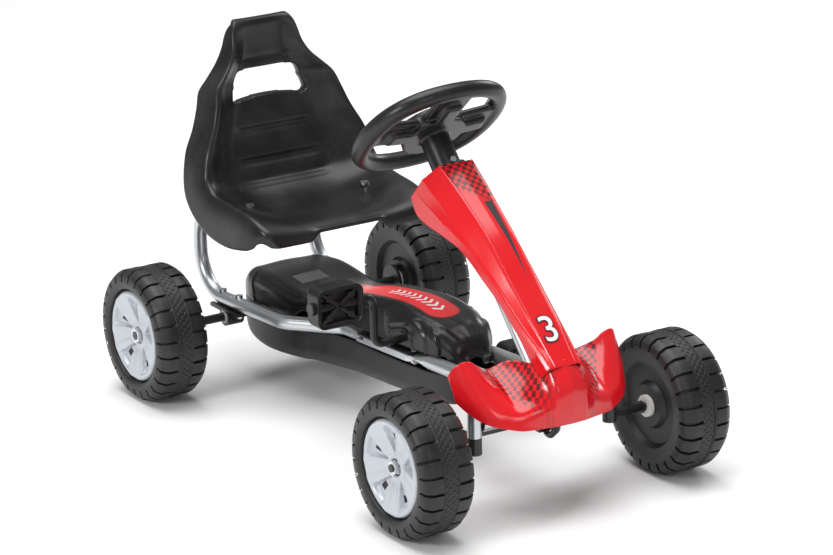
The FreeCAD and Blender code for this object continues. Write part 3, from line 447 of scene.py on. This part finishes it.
seatSet = {
    "wall": 0.004, "across": 72, "along": 120,
    "slotLow": 372.0, "slotHigh": 413.0, "slotLowHalf": 57.0, "slotHighHalf": 46.0, "slotRound": 8.0,
    "slotDeep": 15.0, "slotArch": 7.0, "slotZone": (366.0, 418.0, 64.0), "rollFrom": 0.80,
    "panelEdge": (0.30, 0.42), "panelFoot": (262.0, 268.0), "panelHead": (340.0, 368.0), "headLine": 428.0,
    "lipRaise": 11.0, "lipHalf": 60.0,
    # y, z, lean from level, half width, side rise, rolled rim
    "stations": [
        (136.0, 231.0, 84.0, 116.0, 1.0, 8.0), (139.0, 244.0, 60.0, 128.0, 3.0, 12.0),
        (152.0, 252.0, 20.0, 136.0, 7.0, 22.0), (182.0, 253.0, -4.0, 140.0, 15.0, 30.0),
        (230.0, 249.0, -2.0, 142.0, 23.0, 32.0), (278.0, 252.0, 16.0, 143.0, 26.0, 26.0),
        (313.0, 275.0, 55.0, 142.0, 30.0, 22.0), (330.0, 318.0, 76.0, 132.0, 34.0, 16.0),
        (339.0, 350.0, 77.0, 115.0, 34.0, 14.0), (345.0, 376.0, 77.0, 105.0, 32.0, 13.0),
        (350.0, 396.0, 78.0, 98.0, 28.0, 13.0), (352.0, 410.0, 80.0, 85.0, 25.0, 12.0),
        (355.0, 428.0, 84.0, 68.0, 20.0, 12.0), (356.0, 446.0, 88.0, 58.0, 15.0, 11.0),
        (356.0, 462.0, 90.0, 54.0, 10.0, 9.0), (355.0, 473.0, 90.0, 50.0, 5.0, 7.0),
        (357.0, 480.0, 60.0, 45.0, 1.5, 4.0), (363.0, 483.0, 8.0, 42.0, 0.5, 3.0),
        (369.0, 480.0, -50.0, 41.0, 0.5, 2.0), (371.0, 474.0, -84.0, 41.0, 0.5, 2.0),
    ],
    "ribs": (272.0, 294.0, 334.0), "ribDepth": 3.2,
}


def seatRows():
    rows = []
    run = 0.0
    before = None
    for station in seatSet["stations"]:
        if before:
            run += math.hypot(station[0] - before[0], station[1] - before[1])
        rows.append((run,) + station)
        before = station
    return rows


def slotDistance(x, z):  # below zero inside the handle slot
    low = seatSet["slotLow"] + seatSet["slotArch"] * (1.0 - (x / seatSet["slotLowHalf"]) ** 2)
    slope = (seatSet["slotLowHalf"] - seatSet["slotHighHalf"]) / (seatSet["slotHigh"] - seatSet["slotLow"])
    half = seatSet["slotLowHalf"] - slope * (z - seatSet["slotLow"])
    side = (abs(x) - half) / math.hypot(1.0, slope)
    up = max(z - seatSet["slotHigh"], low - z)
    r = seatSet["slotRound"]
    outer = math.hypot(max(side + r, 0.0), max(up + r, 0.0)) - r
    return outer + min(max(side, up) + r, 0.0)


def nearSlot(v):
    low, high, half = seatSet["slotZone"]
    return low < v.co.z / mm < high and abs(v.co.x) / mm < half


def buildSeat():
    rows = seatRows()
    total = rows[-1][0]
    # along the section: distance share, across share, lift share
    section = [(0.0, 0.0, 0.0), (0.36, 0.46, 0.06), (0.55, 0.70, 0.55), (0.70, 0.86, 0.97), (0.78, 0.92, 0.98),
               (0.88, 0.975, 0.5), (1.0, 1.0, 0.0)]

    def place(u, v):
        y, z, lean, half, rise, roll = smoothRow(rows, v * total)
        side = 2.0 * u - 1.0
        s = abs(side)
        across, share = smoothRow(section, s)
        lift = rise * share
        lift -= roll * smoothStep(seatSet["rollFrom"], 1.0, s)
        onBack = (1.0 if lean > 40 else 0.0) * smoothStep(*seatSet["panelFoot"], z)
        onBack *= 1.0 - smoothStep(*seatSet["panelHead"], z)
        panel = 1.0 - smoothStep(*seatSet["panelEdge"], s)
        for height in seatSet["ribs"]:
            lift -= seatSet["ribDepth"] * ridge(z - height, 8.0) * panel * onBack
        lift += 2.0 * panel * onBack
        head = ridge(z - seatSet["headLine"], 4.0) * (1.0 - smoothStep(0.40, 0.5, s))
        lift -= 1.6 * head * (1.0 if lean > 60 else 0.0)
        angle = math.radians(lean)
        x = math.copysign(across * half, side)
        point = Vector((x, y - math.sin(angle) * lift, z + math.cos(angle) * lift))
        if v < 0.12:
            inside = 1.0 - smoothStep(seatSet["lipHalf"] - 14.0, seatSet["lipHalf"], abs(x))
            point.z += seatSet["lipRaise"] * inside * (1.0 - smoothStep(0.0, 0.05, v))
        return point * mm

    bm = gridSheet(seatSet["across"], seatSet["along"], place)
    doomed = []
    for f in bm.faces:
        center = f.calc_center_median() / mm
        if slotDistance(center.x, center.z) < 0.0:
            doomed.append(f)
    bmesh.ops.delete(bm, geom=doomed, context="FACES")
    edging = [v for v in bm.verts if v.is_boundary and nearSlot(v)]
    nearby = list({e.other_vert(v) for v in edging for e in v.link_edges} - set(edging))
    for k in range(4):
        for v in edging:
            x, z = v.co.x / mm, v.co.z / mm
            gap = slotDistance(x, z)
            slideX = slotDistance(x + 0.1, z) - gap
            slideZ = slotDistance(x, z + 0.1) - gap
            size = max(math.hypot(slideX, slideZ), 0.02)
            v.co.x -= gap * slideX / size * mm
            v.co.z -= gap * slideZ / size * mm
        bmesh.ops.smooth_vert(bm, verts=nearby if k < 3 else edging, factor=0.5, use_axis_x=True,
                              use_axis_y=True,
                              use_axis_z=True)
    rim = [e for e in bm.edges if e.is_boundary and all(nearSlot(v) for v in e.verts)]
    turned = bmesh.ops.extrude_edge_only(bm, edges=rim)["geom"]
    bmesh.ops.translate(bm, verts=[g for g in turned if isinstance(g, bmesh.types.BMVert)],
                        vec=(0.0, seatSet["slotDeep"] * mm, 0.0))
    bmesh.ops.recalc_face_normals(bm, faces=bm.faces)
    faceAway(bm, Vector((0.0, 0.6, 0.1)))
    piece = addPiece("seat_shell_moulded", bm, materials["seat"], "frame", ("seat_shell",),
                     False)
    addWall(piece, seatSet["wall"])
    addSmooth(piece, 1)


buildSeat()
print("stage: seat")

coverRows = [
    (0.0, 24.7, 0.0, 40.0, 25.0, 42.0, 50.0, 43.0, 60.0),
    (22.0, 23.7, -2.5, 39.3, 22.0, 42.0, 44.0, 42.5, 69.0),
    (45.0, 22.7, -5.0, 38.0, 18.5, 42.0, 35.5, 42.0, 61.0),
    (65.0, 21.6, -6.5, 37.0, 16.0, 41.5, 30.0, 41.5, 49.0),
    (85.0, 20.6, -8.0, 36.0, 14.0, 40.0, 24.0, 40.5, 38.0),
    (105.0, 19.8, -9.3, 35.0, 12.0, 38.5, 18.0, 39.0, 28.5),
    (130.0, 18.8, -10.0, 33.0, 10.5, 36.0, 15.0, 36.5, 24.0),
    (160.0, 18.2, -8.5, 31.5, 9.0, 34.5, 13.0, 35.0, 21.0),
    (200.0, 17.8, -6.0, 29.5, 7.5, 32.0, 10.5, 32.5, 17.0),
    (245.0, 17.4, -4.4, 27.0, 5.0, 30.0, 9.0, 31.0, 17.0),
    (285.0, 16.3, -1.5, 23.5, 2.0, 27.5, 6.5, 30.0, 19.0), (312.0, 15.2, 0.0, 21.5, 1.5, 25.5, 6.5, 29.0, 20.0),
]


def coverPoint(down, x, depth):
    return coverSet["top"] + coverDown * (down * mm) + Vector((x * mm, 0, 0)) - coverOut * (depth * mm)


def buildCover():
    stops = (0.0, 0.22, 0.40, 0.62, 1.0)

    def place(u, v):
        down = v * coverRows[-1][0]
        values = smoothRow(coverRows, down)
        corners = [(0.0, values[1] - 0.6)] + [(values[k], values[k + 1]) for k in (0, 2, 4, 6)]
        side = 2.0 * u - 1.0
        s = abs(side)
        k = 0
        while k < 3 and s > stops[k + 1]:
            k += 1
        t = (s - stops[k]) / (stops[k + 1] - stops[k])
        x = corners[k][0] * (1 - t) + corners[k + 1][0] * t
        depth = corners[k][1] * (1 - t) + corners[k + 1][1] * t
        for stop in stops[1:4]:
            depth -= coverSet["crease"] * ridge(s - stop, 0.019)
        return coverPoint(down, math.copysign(x, side), depth)

    bm = gridSheet(100, 110, place)
    faceAway(bm, coverPoint(150.0, 0.0, 60.0))
    piece = addPiece("column_cover_moulded", bm, materials["cover"], "frame",
                     ("column_cover",), False)
    addWall(piece, coverSet["wall"])
    addSmooth(piece, 1)


noseRows = [
    (0.0, -374.0, 119.0, -378.0, 145.0, -374.0, 172.0, -356.0, 197.0),
    (20.0, -373.0, 119.0, -376.0, 145.0, -370.0, 170.0, -350.0, 193.0),
    (42.0, -368.0, 119.0, -364.0, 143.0, -345.0, 166.0, -301.0, 191.0),
    (66.0, -363.0, 120.0, -356.0, 140.0, -330.0, 160.0, -287.0, 180.0),
    (85.0, -353.0, 124.0, -346.0, 142.0, -326.0, 165.0, -297.0, 189.0),
    (97.0, -345.0, 127.0, -338.0, 147.0, -321.0, 172.0, -299.0, 197.5),
    (107.0, -334.0, 132.0, -328.0, 152.0, -315.0, 177.0, -300.0, 200.0),
    (115.0, -322.0, 139.0, -317.0, 156.0, -308.0, 176.0, -297.0, 196.5),
    (121.0, -310.0, 147.0, -305.0, 160.0, -298.0, 174.0, -290.0, 188.0),
    (124.0, -302.0, 153.0, -298.0, 162.0, -292.0, 171.0, -286.0, 179.0),
]


def buildNose():
    def place(u, v):
        side = 2.0 * u - 1.0
        x = abs(side) * noseRows[-1][0]
        values = smoothRow(noseRows[1:], max(x, 20.0))
        if x < 20.0:
            first, second = noseRows[0][1:], noseRows[1][1:]
            values = [a + (b - a) * x / 20.0 for a, b in zip(first, second)]
        rows = [(k / 3.0, values[2 * k], values[2 * k + 1]) for k in range(4)]
        y, z = smoothRow(rows, v)
        sunk = smoothStep(22.0, 28.0, x) * (1.0 - smoothStep(60.0, 74.0, x)) * smoothStep(0.30, 0.55, v)
        return Vector((math.copysign(x, side), y + 2.0 * sunk, z - 2.4 * sunk)) * mm

    bm = gridSheet(124, 48, place)
    faceAway(bm, Vector((0.0, -0.2, 0.10)))
    piece = addPiece("nose_fairing_moulded", bm, materials["nose"], "frame", ("nose_fairing",),
                     False)
    addWall(piece, 0.0025)
    addSmooth(piece, 1)


numberSet = {"digit": "3", "height": 0.050, "down": 262.0, "depth": -4.4, "thick": 0.0002}


def buildNumber():
    plane = Matrix((Vector((1, 0, 0)), -coverDown, coverOut)).transposed().to_4x4()
    tilt = Matrix.Rotation(math.radians(4.1), 4, "X")
    for name, bolder, lift, look in (("number_edge", 0.0016, 0.0, "ink"),
                                     ("number_face", 0.0002, 0.00035, "white")):
        curve = bpy.data.curves.new(name, "FONT")
        curve.body = numberSet["digit"]
        curve.align_x = "CENTER"
        curve.align_y = "CENTER"
        curve.size = numberSet["height"]
        curve.offset = bolder
        curve.extrude = numberSet["thick"]
        holder = bpy.data.objects.new(name, curve)
        bpy.context.scene.collection.objects.link(holder)
        bpy.context.view_layer.update()
        mesh = bpy.data.meshes.new_from_object(holder)
        bpy.data.objects.remove(holder)
        mesh.materials.clear()
        origin = coverPoint(numberSet["down"], 0.0, numberSet["depth"]) + coverOut * lift
        mesh.transform(Matrix.Translation(origin) @ plane @ tilt)
        bm = bmesh.new()
        bm.from_mesh(mesh)
        piece = addPiece(name, bm, materials[look], "frame")
        for polygon in piece.data.polygons:
            polygon.use_smooth = False


buildCover()
buildNose()
buildNumber()
print("stage: cover, nose, number")

upperRows = [  # y, half width, lower edge, top
    (-159.0, 15.0, 131.0, 147.0), (-156.0, 25.0, 131.0, 158.0), (-151.0, 29.5, 132.0, 165.0),
    (-143.0, 34.0, 145.0, 171.0), (-130.0, 40.5, 144.5, 179.0), (-108.0, 44.5, 143.5, 185.0),
    (-85.0, 47.5, 142.5, 188.0), (-60.0, 48.5, 141.0, 190.0), (-20.0, 49.0, 138.5, 188.0),
    (60.0, 50.0, 134.6, 176.0),
    (120.0, 53.0, 131.0, 161.0), (166.0, 62.0, 129.0, 152.0), (192.0, 67.0, 112.0, 150.0),
    (255.0, 68.0, 112.0, 155.0), (290.0, 66.0, 112.0, 153.0), (316.0, 61.0, 112.0, 149.0),
    (336.0, 50.0, 112.0, 136.0), (346.0, 34.0, 112.0, 122.0),
]
lowerRows = [  # y, half width, upper edge, bottom
    (-172.0, 30.0, 125.0, 96.0), (-150.0, 38.0, 124.0, 82.0), (-100.0, 43.0, 119.5, 75.0),
    (-20.0, 45.0, 115.5, 69.0), (60.0, 46.0, 113.0, 64.0), (120.0, 50.0, 109.0, 59.0),
    (166.0, 56.0, 106.0, 55.0), (192.0, 62.0, 112.0, 52.0), (255.0, 67.0, 112.0, 47.0),
    (290.0, 66.0, 112.0, 48.0), (316.0, 61.0, 112.0, 53.0), (336.0, 50.0, 112.0, 66.0),
    (346.0, 34.0, 112.0, 90.0),
]
hullSet = {"wall": 0.0026, "roundBy": 20.0, "foot": (0.012, 0.126, 0.003), "footAt": (0.0505, -0.0265, 0.13488),
           "rings": ((-66.0, 145.0, 20.0), (-84.0, 149.0, 29.0), (-98.0, 150.0, 36.0)), "ringFrom": -30.0}


def hullPlace(rows, u, v):
    y = rows[0][0] + (rows[-1][0] - rows[0][0]) * v
    half, edge, crown = smoothRow(rows, y)
    height = crown - edge
    r = min(hullSet["roundBy"], abs(height) * 0.8, half * 0.8)
    sign = 1.0 if height > 0 else -1.0
    side = 2.0 * u - 1.0
    wallRun, flatRun = abs(height) - r, half - r
    arcRun = r * math.pi / 2
    run = (1.0 - abs(side)) * (wallRun + arcRun + flatRun)
    if run < wallRun:
        x, z = half, edge + sign * run
    elif run < wallRun + arcRun:
        angle = (run - wallRun) / r
        x = half - r + r * math.cos(angle)
        z = edge + sign * (wallRun + r * math.sin(angle))
    else:
        x, z = half - r - (run - wallRun - arcRun), crown
        z += sign * 1.5 * smoothStep(0.0, flatRun, run - wallRun - arcRun)
    return math.copysign(x, side), y, z


def endCap(bm, atY, y, pull):  # closes an open end with a filled, slightly domed face
    edges = [e for e in bm.edges if e.is_boundary and all(abs(v.co.y - atY * mm) < 2e-4 for v in e.verts)]
    made = bmesh.ops.extrude_edge_only(bm, edges=edges)["geom"]
    verts = [g for g in made if isinstance(g, bmesh.types.BMVert)]
    middle = sum((v.co for v in verts), Vector()) / len(verts)
    for v in verts:
        v.co = middle + (v.co - middle) * pull
        v.co.y = y * mm
    made = [g for g in made if isinstance(g, bmesh.types.BMEdge)]
    bmesh.ops.holes_fill(bm, edges=made, sides=0)


def buildUpperCase():
    def place(u, v):
        x, y, z = hullPlace(upperRows, u, v)
        side = abs(x) / max(smoothRow(upperRows, y)[0], 1.0)
        bulge = 0.0
        if side > 0.8:
            for ringY, ringZ, radius in hullSet["rings"]:
                if y < ringY:
                    gap = math.hypot(y - ringY, z - ringZ) - radius
                else:
                    gap = z - (ringZ + radius - 0.3 * (y - ringY))
                reach = 1.0 - smoothStep(hullSet["ringFrom"] - 6.0, hullSet["ringFrom"], y)
                bulge += 3.2 * ridge(gap, 3.8) * reach * smoothStep(0.8, 0.9, side)
            upright = smoothStep(146.0, 150.0, z) * (1.0 - smoothStep(176.0, 180.0, z))
            bulge += 1.8 * ridge(y + 26.0, 3.0) * upright
            bulge += 2.2 * ridge(y - 288.0 - (z - 130.0) * 0.25, 4.0)
        return Vector((x + math.copysign(bulge, x), y, z)) * mm

    bm = gridSheet(96, 240, place)
    endCap(bm, upperRows[0][0], upperRows[0][0] - 3.0, 0.75)
    endCap(bm, upperRows[-1][0], upperRows[-1][0] + 2.0, 0.75)
    faceAway(bm, Vector((0.0, 0.08, 0.12)))
    piece = addPiece("chain_case_upper_moulded", bm, materials["case"], "frame",
                     ("chain_case_upper",), False)
    addWall(piece, hullSet["wall"])
    for side in (-1, 1):
        foot = bmesh.new()
        bmesh.ops.create_cube(foot, size=1.0)
        bmesh.ops.scale(foot, vec=hullSet["foot"], verts=foot.verts)
        bmesh.ops.bevel(foot, geom=foot.edges[:], offset=0.0009, offset_type="OFFSET", segments=2, profile=0.5,
                        affect="EDGES", material=-1)
        slope = Matrix.Rotation(math.atan(-0.055), 4, "X")
        footX, footY, footZ = hullSet["footAt"]
        spot = Matrix.Translation((side * footX, footY, footZ))
        bmesh.ops.transform(foot, matrix=spot @ slope, verts=foot.verts)
        name = "case_foot_" + ("left" if side > 0 else "right")
        addPiece(name, foot, materials["case"], "frame")


def buildLowerCase():
    def place(u, v):
        x, y, z = hullPlace(lowerRows, u, v)
        return Vector((x, y, z)) * mm

    bm = gridSheet(60, 110, place)
    endCap(bm, lowerRows[0][0], lowerRows[0][0] - 2.0, 0.75)
    endCap(bm, lowerRows[-1][0], lowerRows[-1][0] + 2.0, 0.75)
    faceAway(bm, Vector((0.0, 0.08, 0.10)))
    piece = addPiece("chain_case_lower_moulded", bm, materials["belly"], "frame",
                     ("chain_case_lower",), False)
    addWall(piece, hullSet["wall"])
    addSmooth(piece, 1)


buildUpperCase()
buildLowerCase()
print("stage: chain case")

steerSet = {"hub": 0.043, "sleeve": 0.019, "spokes": (-8.0, 188.0, 270.0), "squareBy": 0.028, "gripBy": 0.10,
            "center": Vector((0.0, -0.06104, 0.42351)), "rim": 0.092, "section": 0.0112, "voxel": 0.0017}
columnDown = Vector((0.0, -0.665495, -0.746402))


def addTorus(bm, radius, section, turns=80, sides=20):
    made = bmesh.ops.create_circle(bm, segments=sides, radius=section)["verts"]
    bmesh.ops.rotate(bm, verts=made, cent=(0, 0, 0), matrix=Matrix.Rotation(math.pi / 2, 3, "X"))
    bmesh.ops.translate(bm, verts=made, vec=(radius, 0, 0))
    edges = list({e for v in made for e in v.link_edges})
    bmesh.ops.spin(bm, geom=edges, cent=(0, 0, 0), axis=(0, 0, 1), angle=math.tau, steps=turns, use_merge=True)


def addBlock(bm, size, matrix, round=0.003):
    made = bmesh.ops.create_cube(bm, size=1.0)["verts"]
    bmesh.ops.scale(bm, vec=size, verts=made)
    edges = list({e for v in made for e in v.link_edges})
    shaped = bmesh.ops.bevel(bm, geom=edges, offset=round, offset_type="OFFSET", segments=3, profile=0.5,
                             affect="EDGES", material=-1)["verts"]
    bmesh.ops.transform(bm, matrix=matrix, verts=list(set(shaped) | {v for v in made if v.is_valid}))
    return shaped


def addRod(bm, radius, low, high, matrix=Matrix.Identity(4), taper=1.0, sides=48):
    made = bmesh.ops.create_cone(bm, cap_ends=True, segments=sides, radius1=radius, radius2=radius * taper,
                                 depth=high - low)["verts"]
    bmesh.ops.translate(bm, verts=made, vec=(0, 0, (low + high) / 2))
    bmesh.ops.transform(bm, matrix=matrix, verts=made)
    return made


def wheelFrame():
    toDriver = -columnDown
    up = toDriver.cross(Vector((1, 0, 0)))
    turned = Matrix((Vector((1, 0, 0)), up, toDriver)).transposed().to_4x4()
    return Matrix.Translation(steerSet["center"]) @ turned


def buildSteeringWheel():
    bm = bmesh.new()
    addTorus(bm, steerSet["rim"], steerSet["section"])
    for v in bm.verts:  # grips a little fatter at both sides
        angle = math.atan2(v.co.y, v.co.x)
        fat = 1.0 + steerSet["gripBy"] * math.cos(angle) ** 4
        flat = Vector((v.co.x, v.co.y, 0.0)).normalized() * steerSet["rim"]
        v.co = flat * (1.0 - steerSet["squareBy"] * math.cos(4.0 * angle)) + (v.co - flat) * fat
    addRod(bm, steerSet["hub"], -0.017, 0.008, taper=0.90)
    addRod(bm, steerSet["sleeve"], -0.077, -0.010)
    addRod(bm, 0.022, -0.077, -0.066)
    for turn in steerSet["spokes"]:
        angle = math.radians(turn)
        spin = Matrix.Rotation(angle, 4, "Z")
        addBlock(bm, (0.070, 0.050, 0.010), spin @ Matrix.Translation((0.052, 0.0, -0.004)), 0.004)
        addBlock(bm, (0.052, 0.026, 0.016), spin @ Matrix.Translation((0.046, 0.0, -0.009)), 0.005)
    addRod(bm, 0.006, 0.0, 0.026, Matrix.Translation((0, 0, -0.0595)) @ Matrix.Rotation(math.pi / 2, 4, "Y"))
    addBlock(bm, (0.050, 0.040, 0.006), Matrix.Translation((0.0, 0.0, 0.009)), 0.0028)
    for k in range(5):
        addBlock(bm, (0.026, 0.0026, 0.0026), Matrix.Translation((0.0, (k - 2) * 0.0062, 0.0125)), 0.001)
    bmesh.ops.transform(bm, matrix=wheelFrame(), verts=bm.verts)
    piece = addPiece("steering_wheel_moulded", bm, materials["wheel"], "steering",
                     ("steering_wheel",))
    fused = piece.modifiers.new("fuse", "REMESH")
    fused.mode = "VOXEL"
    fused.voxel_size = steerSet["voxel"]
    fused.use_smooth_shade = True
    soft = piece.modifiers.new("soften", "SMOOTH")
    soft.factor = 0.5
    soft.iterations = 4


buildSteeringWheel()
print("stage: steering wheel")

pedalSet = {"size": (0.067, 0.026, 0.053), "corner": 0.011, "cross": 0.008,
            # thickness and depth of each step round the tread face
            "steps": ((0.0022, 0.0), (0.0012, -0.0022), (0.0030, 0.0), (0.0010, -0.0075))}


def buildPedal(name, node, body):
    low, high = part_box(node)
    center = (low + high) / 2
    sx, sy, sz = pedalSet["size"]
    bm = bmesh.new()
    bmesh.ops.create_cube(bm, size=1.0)
    bmesh.ops.scale(bm, vec=(sx, sy, sz), verts=bm.verts)
    upright = [e for e in bm.edges if abs((e.verts[0].co - e.verts[1].co).normalized().y) > 0.9]
    bmesh.ops.bevel(bm, geom=upright, offset=pedalSet["corner"], offset_type="OFFSET", segments=6,
                    profile=0.5, affect="EDGES",
                    material=-1)
    bm.normal_update()
    for sign in (-1, 1):
        ends = [f for f in bm.faces if f.normal.y * sign > 0.9]
        for thickness, depth in pedalSet["steps"]:
            bmesh.ops.inset_region(bm, faces=ends, thickness=thickness, depth=depth, use_even_offset=True)
            bm.normal_update()
    reach = math.hypot(sx - 0.016, sz - 0.016)
    for sign in (-1, 1):
        tilt = math.atan2(sz, sx)
        for slope in (-1, 1):
            turn = Matrix.Rotation(slope * tilt, 4, "Y")
            addBlock(bm, (reach, pedalSet["cross"], 0.0052), Matrix.Translation((0, sign * 0.0068, 0)) @ turn,
                     0.0012)
            for end in (-1, 1):
                spot = turn @ Vector((end * reach * 0.33, 0, 0))
                up = Matrix.Rotation(math.pi / 2, 4, "X")
                addRod(bm, 0.0044, -0.004, 0.004, Matrix.Translation((spot.x, sign * 0.0082, spot.z)) @ up,
                       1.0, 20)
    addRod(bm, 0.0085, -sx / 2 + 0.004, sx / 2 - 0.004, Matrix.Rotation(math.pi / 2, 4, "Y"), 1.0, 32)
    bmesh.ops.translate(bm, verts=bm.verts, vec=center)
    piece = addPiece(name, bm, materials["pedal"], body, (node,))
    addEdge(piece, 0.0006, 40.0)


buildPedal("pedal_left_moulded", "pedal_left", "pedal_left")
buildPedal("pedal_right_moulded", "pedal_right", "pedal_right")
print("stage: pedals")

tyreSet = {"blocks": 26, "perBlock": 5, "treadFrom": 78.0, "grooveShare": 0.17, "grooveDepth": 0.0040,
           # radius, outward offset, from the inner bore over the tread to the outer bore
           "profile": [(9.0, -31.0), (27.0, -31.0), (31.0, -25.0), (50.0, -25.0), (55.0, -32.0), (66.0, -34.5),
                       (74.0, -36.5), (82.6, -35.0), (84.2, -33.8), (89.0, -27.0), (89.9, -25.0), (89.8, -17.0),
                       (89.8, -10.5), (88.6, -9.6), (88.6, -5.0), (88.6, 0.0), (88.6, 5.0), (88.6, 7.6),
                       (90.0, 8.2), (90.0, 9.6), (89.0, 10.4), (89.8, 11.4), (89.8, 17.5), (89.9, 25.0),
                       (89.0, 27.0), (84.2, 33.8), (82.6, 35.0), (74.0, 36.5), (68.0, 36.0), (64.5, 34.0),
                       (62.0, 27.0), (48.0, 25.0), (20.0, 19.0), (9.0, 19.0)]}


def buildTyre(name, node, body):
    low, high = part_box(node)
    center = (low + high) / 2
    side = 1.0 if center.x > 0 else -1.0
    around = tyreSet["blocks"] * tyreSet["perBlock"]
    bm = bmesh.new()
    ring = [bm.verts.new((out * mm, 0.0, radius * mm)) for radius, out in tyreSet["profile"]]
    edges = [bm.edges.new((ring[k], ring[k + 1])) for k in range(len(ring) - 1)]
    edges.append(bm.edges.new((ring[-1], ring[0])))
    bmesh.ops.spin(bm, geom=edges, cent=(0, 0, 0), axis=(1, 0, 0), angle=math.tau, steps=around, use_merge=True)
    pitch = math.tau / tyreSet["blocks"]
    share = tyreSet["grooveShare"]
    rest = (1.0 - share) / (tyreSet["perBlock"] - 1)
    for v in bm.verts:  # the first strip of every block narrows to a groove
        angle = math.atan2(v.co.y, v.co.z) % math.tau
        block, part = divmod(round(angle / math.tau * around), tyreSet["perBlock"])
        moved = block * pitch + (0.0 if part == 0 else (share + rest * (part - 1)) * pitch)
        radius = math.hypot(v.co.y, v.co.z)
        v.co.y, v.co.z = radius * math.sin(moved), radius * math.cos(moved)
    bmesh.ops.recalc_face_normals(bm, faces=bm.faces)
    grooves, chips = [], []
    for f in bm.faces:
        c = f.calc_center_median()
        radius = math.hypot(c.y, c.z) / mm
        angle = math.atan2(c.y, c.z) % math.tau
        inPitch = (angle % pitch) / pitch
        out = c.x / mm
        onTread = radius > tyreSet["treadFrom"]
        if onTread and out > 10.5 and inPitch < share:
            grooves.append(f)
        if onTread and out < -10.4 and share + rest < inPitch < share + 2 * rest:
            grooves.append(f)
        if radius > 87.0 and -9.5 < out < 7.5 and (int(angle / pitch * 5.0) + int((out + 10.0) / 4.6)) % 2 == 0:
            chips.append(f)
    bmesh.ops.inset_region(bm, faces=grooves, thickness=0.0004, depth=-tyreSet["grooveDepth"],
                           use_even_offset=True)
    bmesh.ops.inset_individual(bm, faces=chips, thickness=0.0008, depth=0.0009, use_even_offset=True)
    for k in range(tyreSet["blocks"]):  # moulding nubs beside the groove ends
        angle = (k + share / 2) * pitch
        for radius, out in ((89.4, 9.0), (79.0, 35.9)):
            spot = Matrix.Translation((out * mm, radius * mm * math.sin(angle), radius * mm * math.cos(angle)))
            bmesh.ops.create_icosphere(bm, subdivisions=1, radius=0.0013, matrix=spot)
    bmesh.ops.scale(bm, vec=(side, 1, 1), verts=bm.verts)
    bmesh.ops.translate(bm, verts=bm.verts, vec=(center.x, center.y, center.z))
    piece = addPiece(name, bm, materials["tyre"], body, (node,))
    addEdge(piece, 0.0005, 32.0)


capSet = {"spokes": 5, "around": 160, "wall": 0.0018,
          # radius, outward offset of the spokes
          "profile": [(10.5, 23.0), (12.0, 24.6), (15.5, 24.9), (18.0, 24.2), (24.0, 25.6), (32.0, 27.8),
                      (40.0, 29.8),
                      (48.0, 31.6), (53.0, 32.8), (56.5, 33.4), (59.2, 32.6), (60.8, 30.4), (60.8, 27.6)]}


def pocketShare(radius, offset):  # how deep in a pocket a point is, by radius and angle from its middle
    width = smoothRow([(18.0, 5.0), (30.0, 11.0), (44.0, 15.0), (54.0, 17.0)], radius)[0]
    along = smoothStep(17.0, 24.0, radius) * (1.0 - smoothStep(50.5, 54.0, radius))
    return along * (1.0 - smoothStep(width * 0.72, width, abs(offset)))


def buildCap(name, node, body, wheelNode):
    low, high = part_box(wheelNode)
    center = (low + high) / 2
    side = 1.0 if center.x > 0 else -1.0
    bm = bmesh.new()
    stations = 46
    runs = [0.0]
    for a, b in zip(capSet["profile"], capSet["profile"][1:]):
        runs.append(runs[-1] + math.hypot(b[0] - a[0], b[1] - a[1]))
    rows = [(run, radius, out) for run, (radius, out) in zip(runs, capSet["profile"])]
    line = []
    for k in range(stations + 1):
        radius, out = smoothRow(rows, runs[-1] * k / stations)
        line.append(bm.verts.new((out * mm, 0.0, radius * mm)))
    edges = [bm.edges.new((a, b)) for a, b in zip(line, line[1:])]
    bmesh.ops.spin(bm, geom=edges, cent=(0, 0, 0), axis=(1, 0, 0), angle=math.tau, steps=capSet["around"],
                   use_merge=True)
    sector = 360.0 / capSet["spokes"]
    for v in bm.verts:
        radius = math.hypot(v.co.y, v.co.z) / mm
        offset = (math.degrees(math.atan2(v.co.y, v.co.z)) + sector / 2) % sector - sector / 2
        share = pocketShare(radius, offset)
        v.co.x -= 5.6 * share * mm
        v.co.x += 0.7 * mm * ridge(abs(offset) - 24.0, 9.0) * smoothStep(20.0, 30.0, radius)
    holes = []
    for f in bm.faces:
        c = f.calc_center_median()
        radius = math.hypot(c.y, c.z) / mm
        offset = (math.degrees(math.atan2(c.y, c.z)) + sector / 2) % sector - sector / 2
        if 35.0 < radius < 44.5 and -8.5 < offset < 1.5:
            holes.append(f)
    bmesh.ops.delete(bm, geom=holes, context="FACES")
    bmesh.ops.scale(bm, vec=(side, 1, 1), verts=bm.verts)
    bmesh.ops.translate(bm, verts=bm.verts, vec=center)
    faceAway(bm, Vector((center.x - side * 0.2, center.y, center.z)))
    piece = addPiece(name, bm, materials["hub"], body, (node,), False)
    addWall(piece, capSet["wall"])
    addEdge(piece, 0.0004, 50.0)


for corner, body in (("front_left", "front_wheel_left"), ("front_right", "front_wheel_right"),
                     ("rear_left", "rear_axle"), ("rear_right", "rear_wheel_right")):
    buildTyre("tyre_" + corner + "_treaded", "tyre_" + corner, body)
    buildCap("hub_cap_" + corner + "_spoked", "hub_cap_" + corner, body, "tyre_" + corner)
print("stage: wheels")
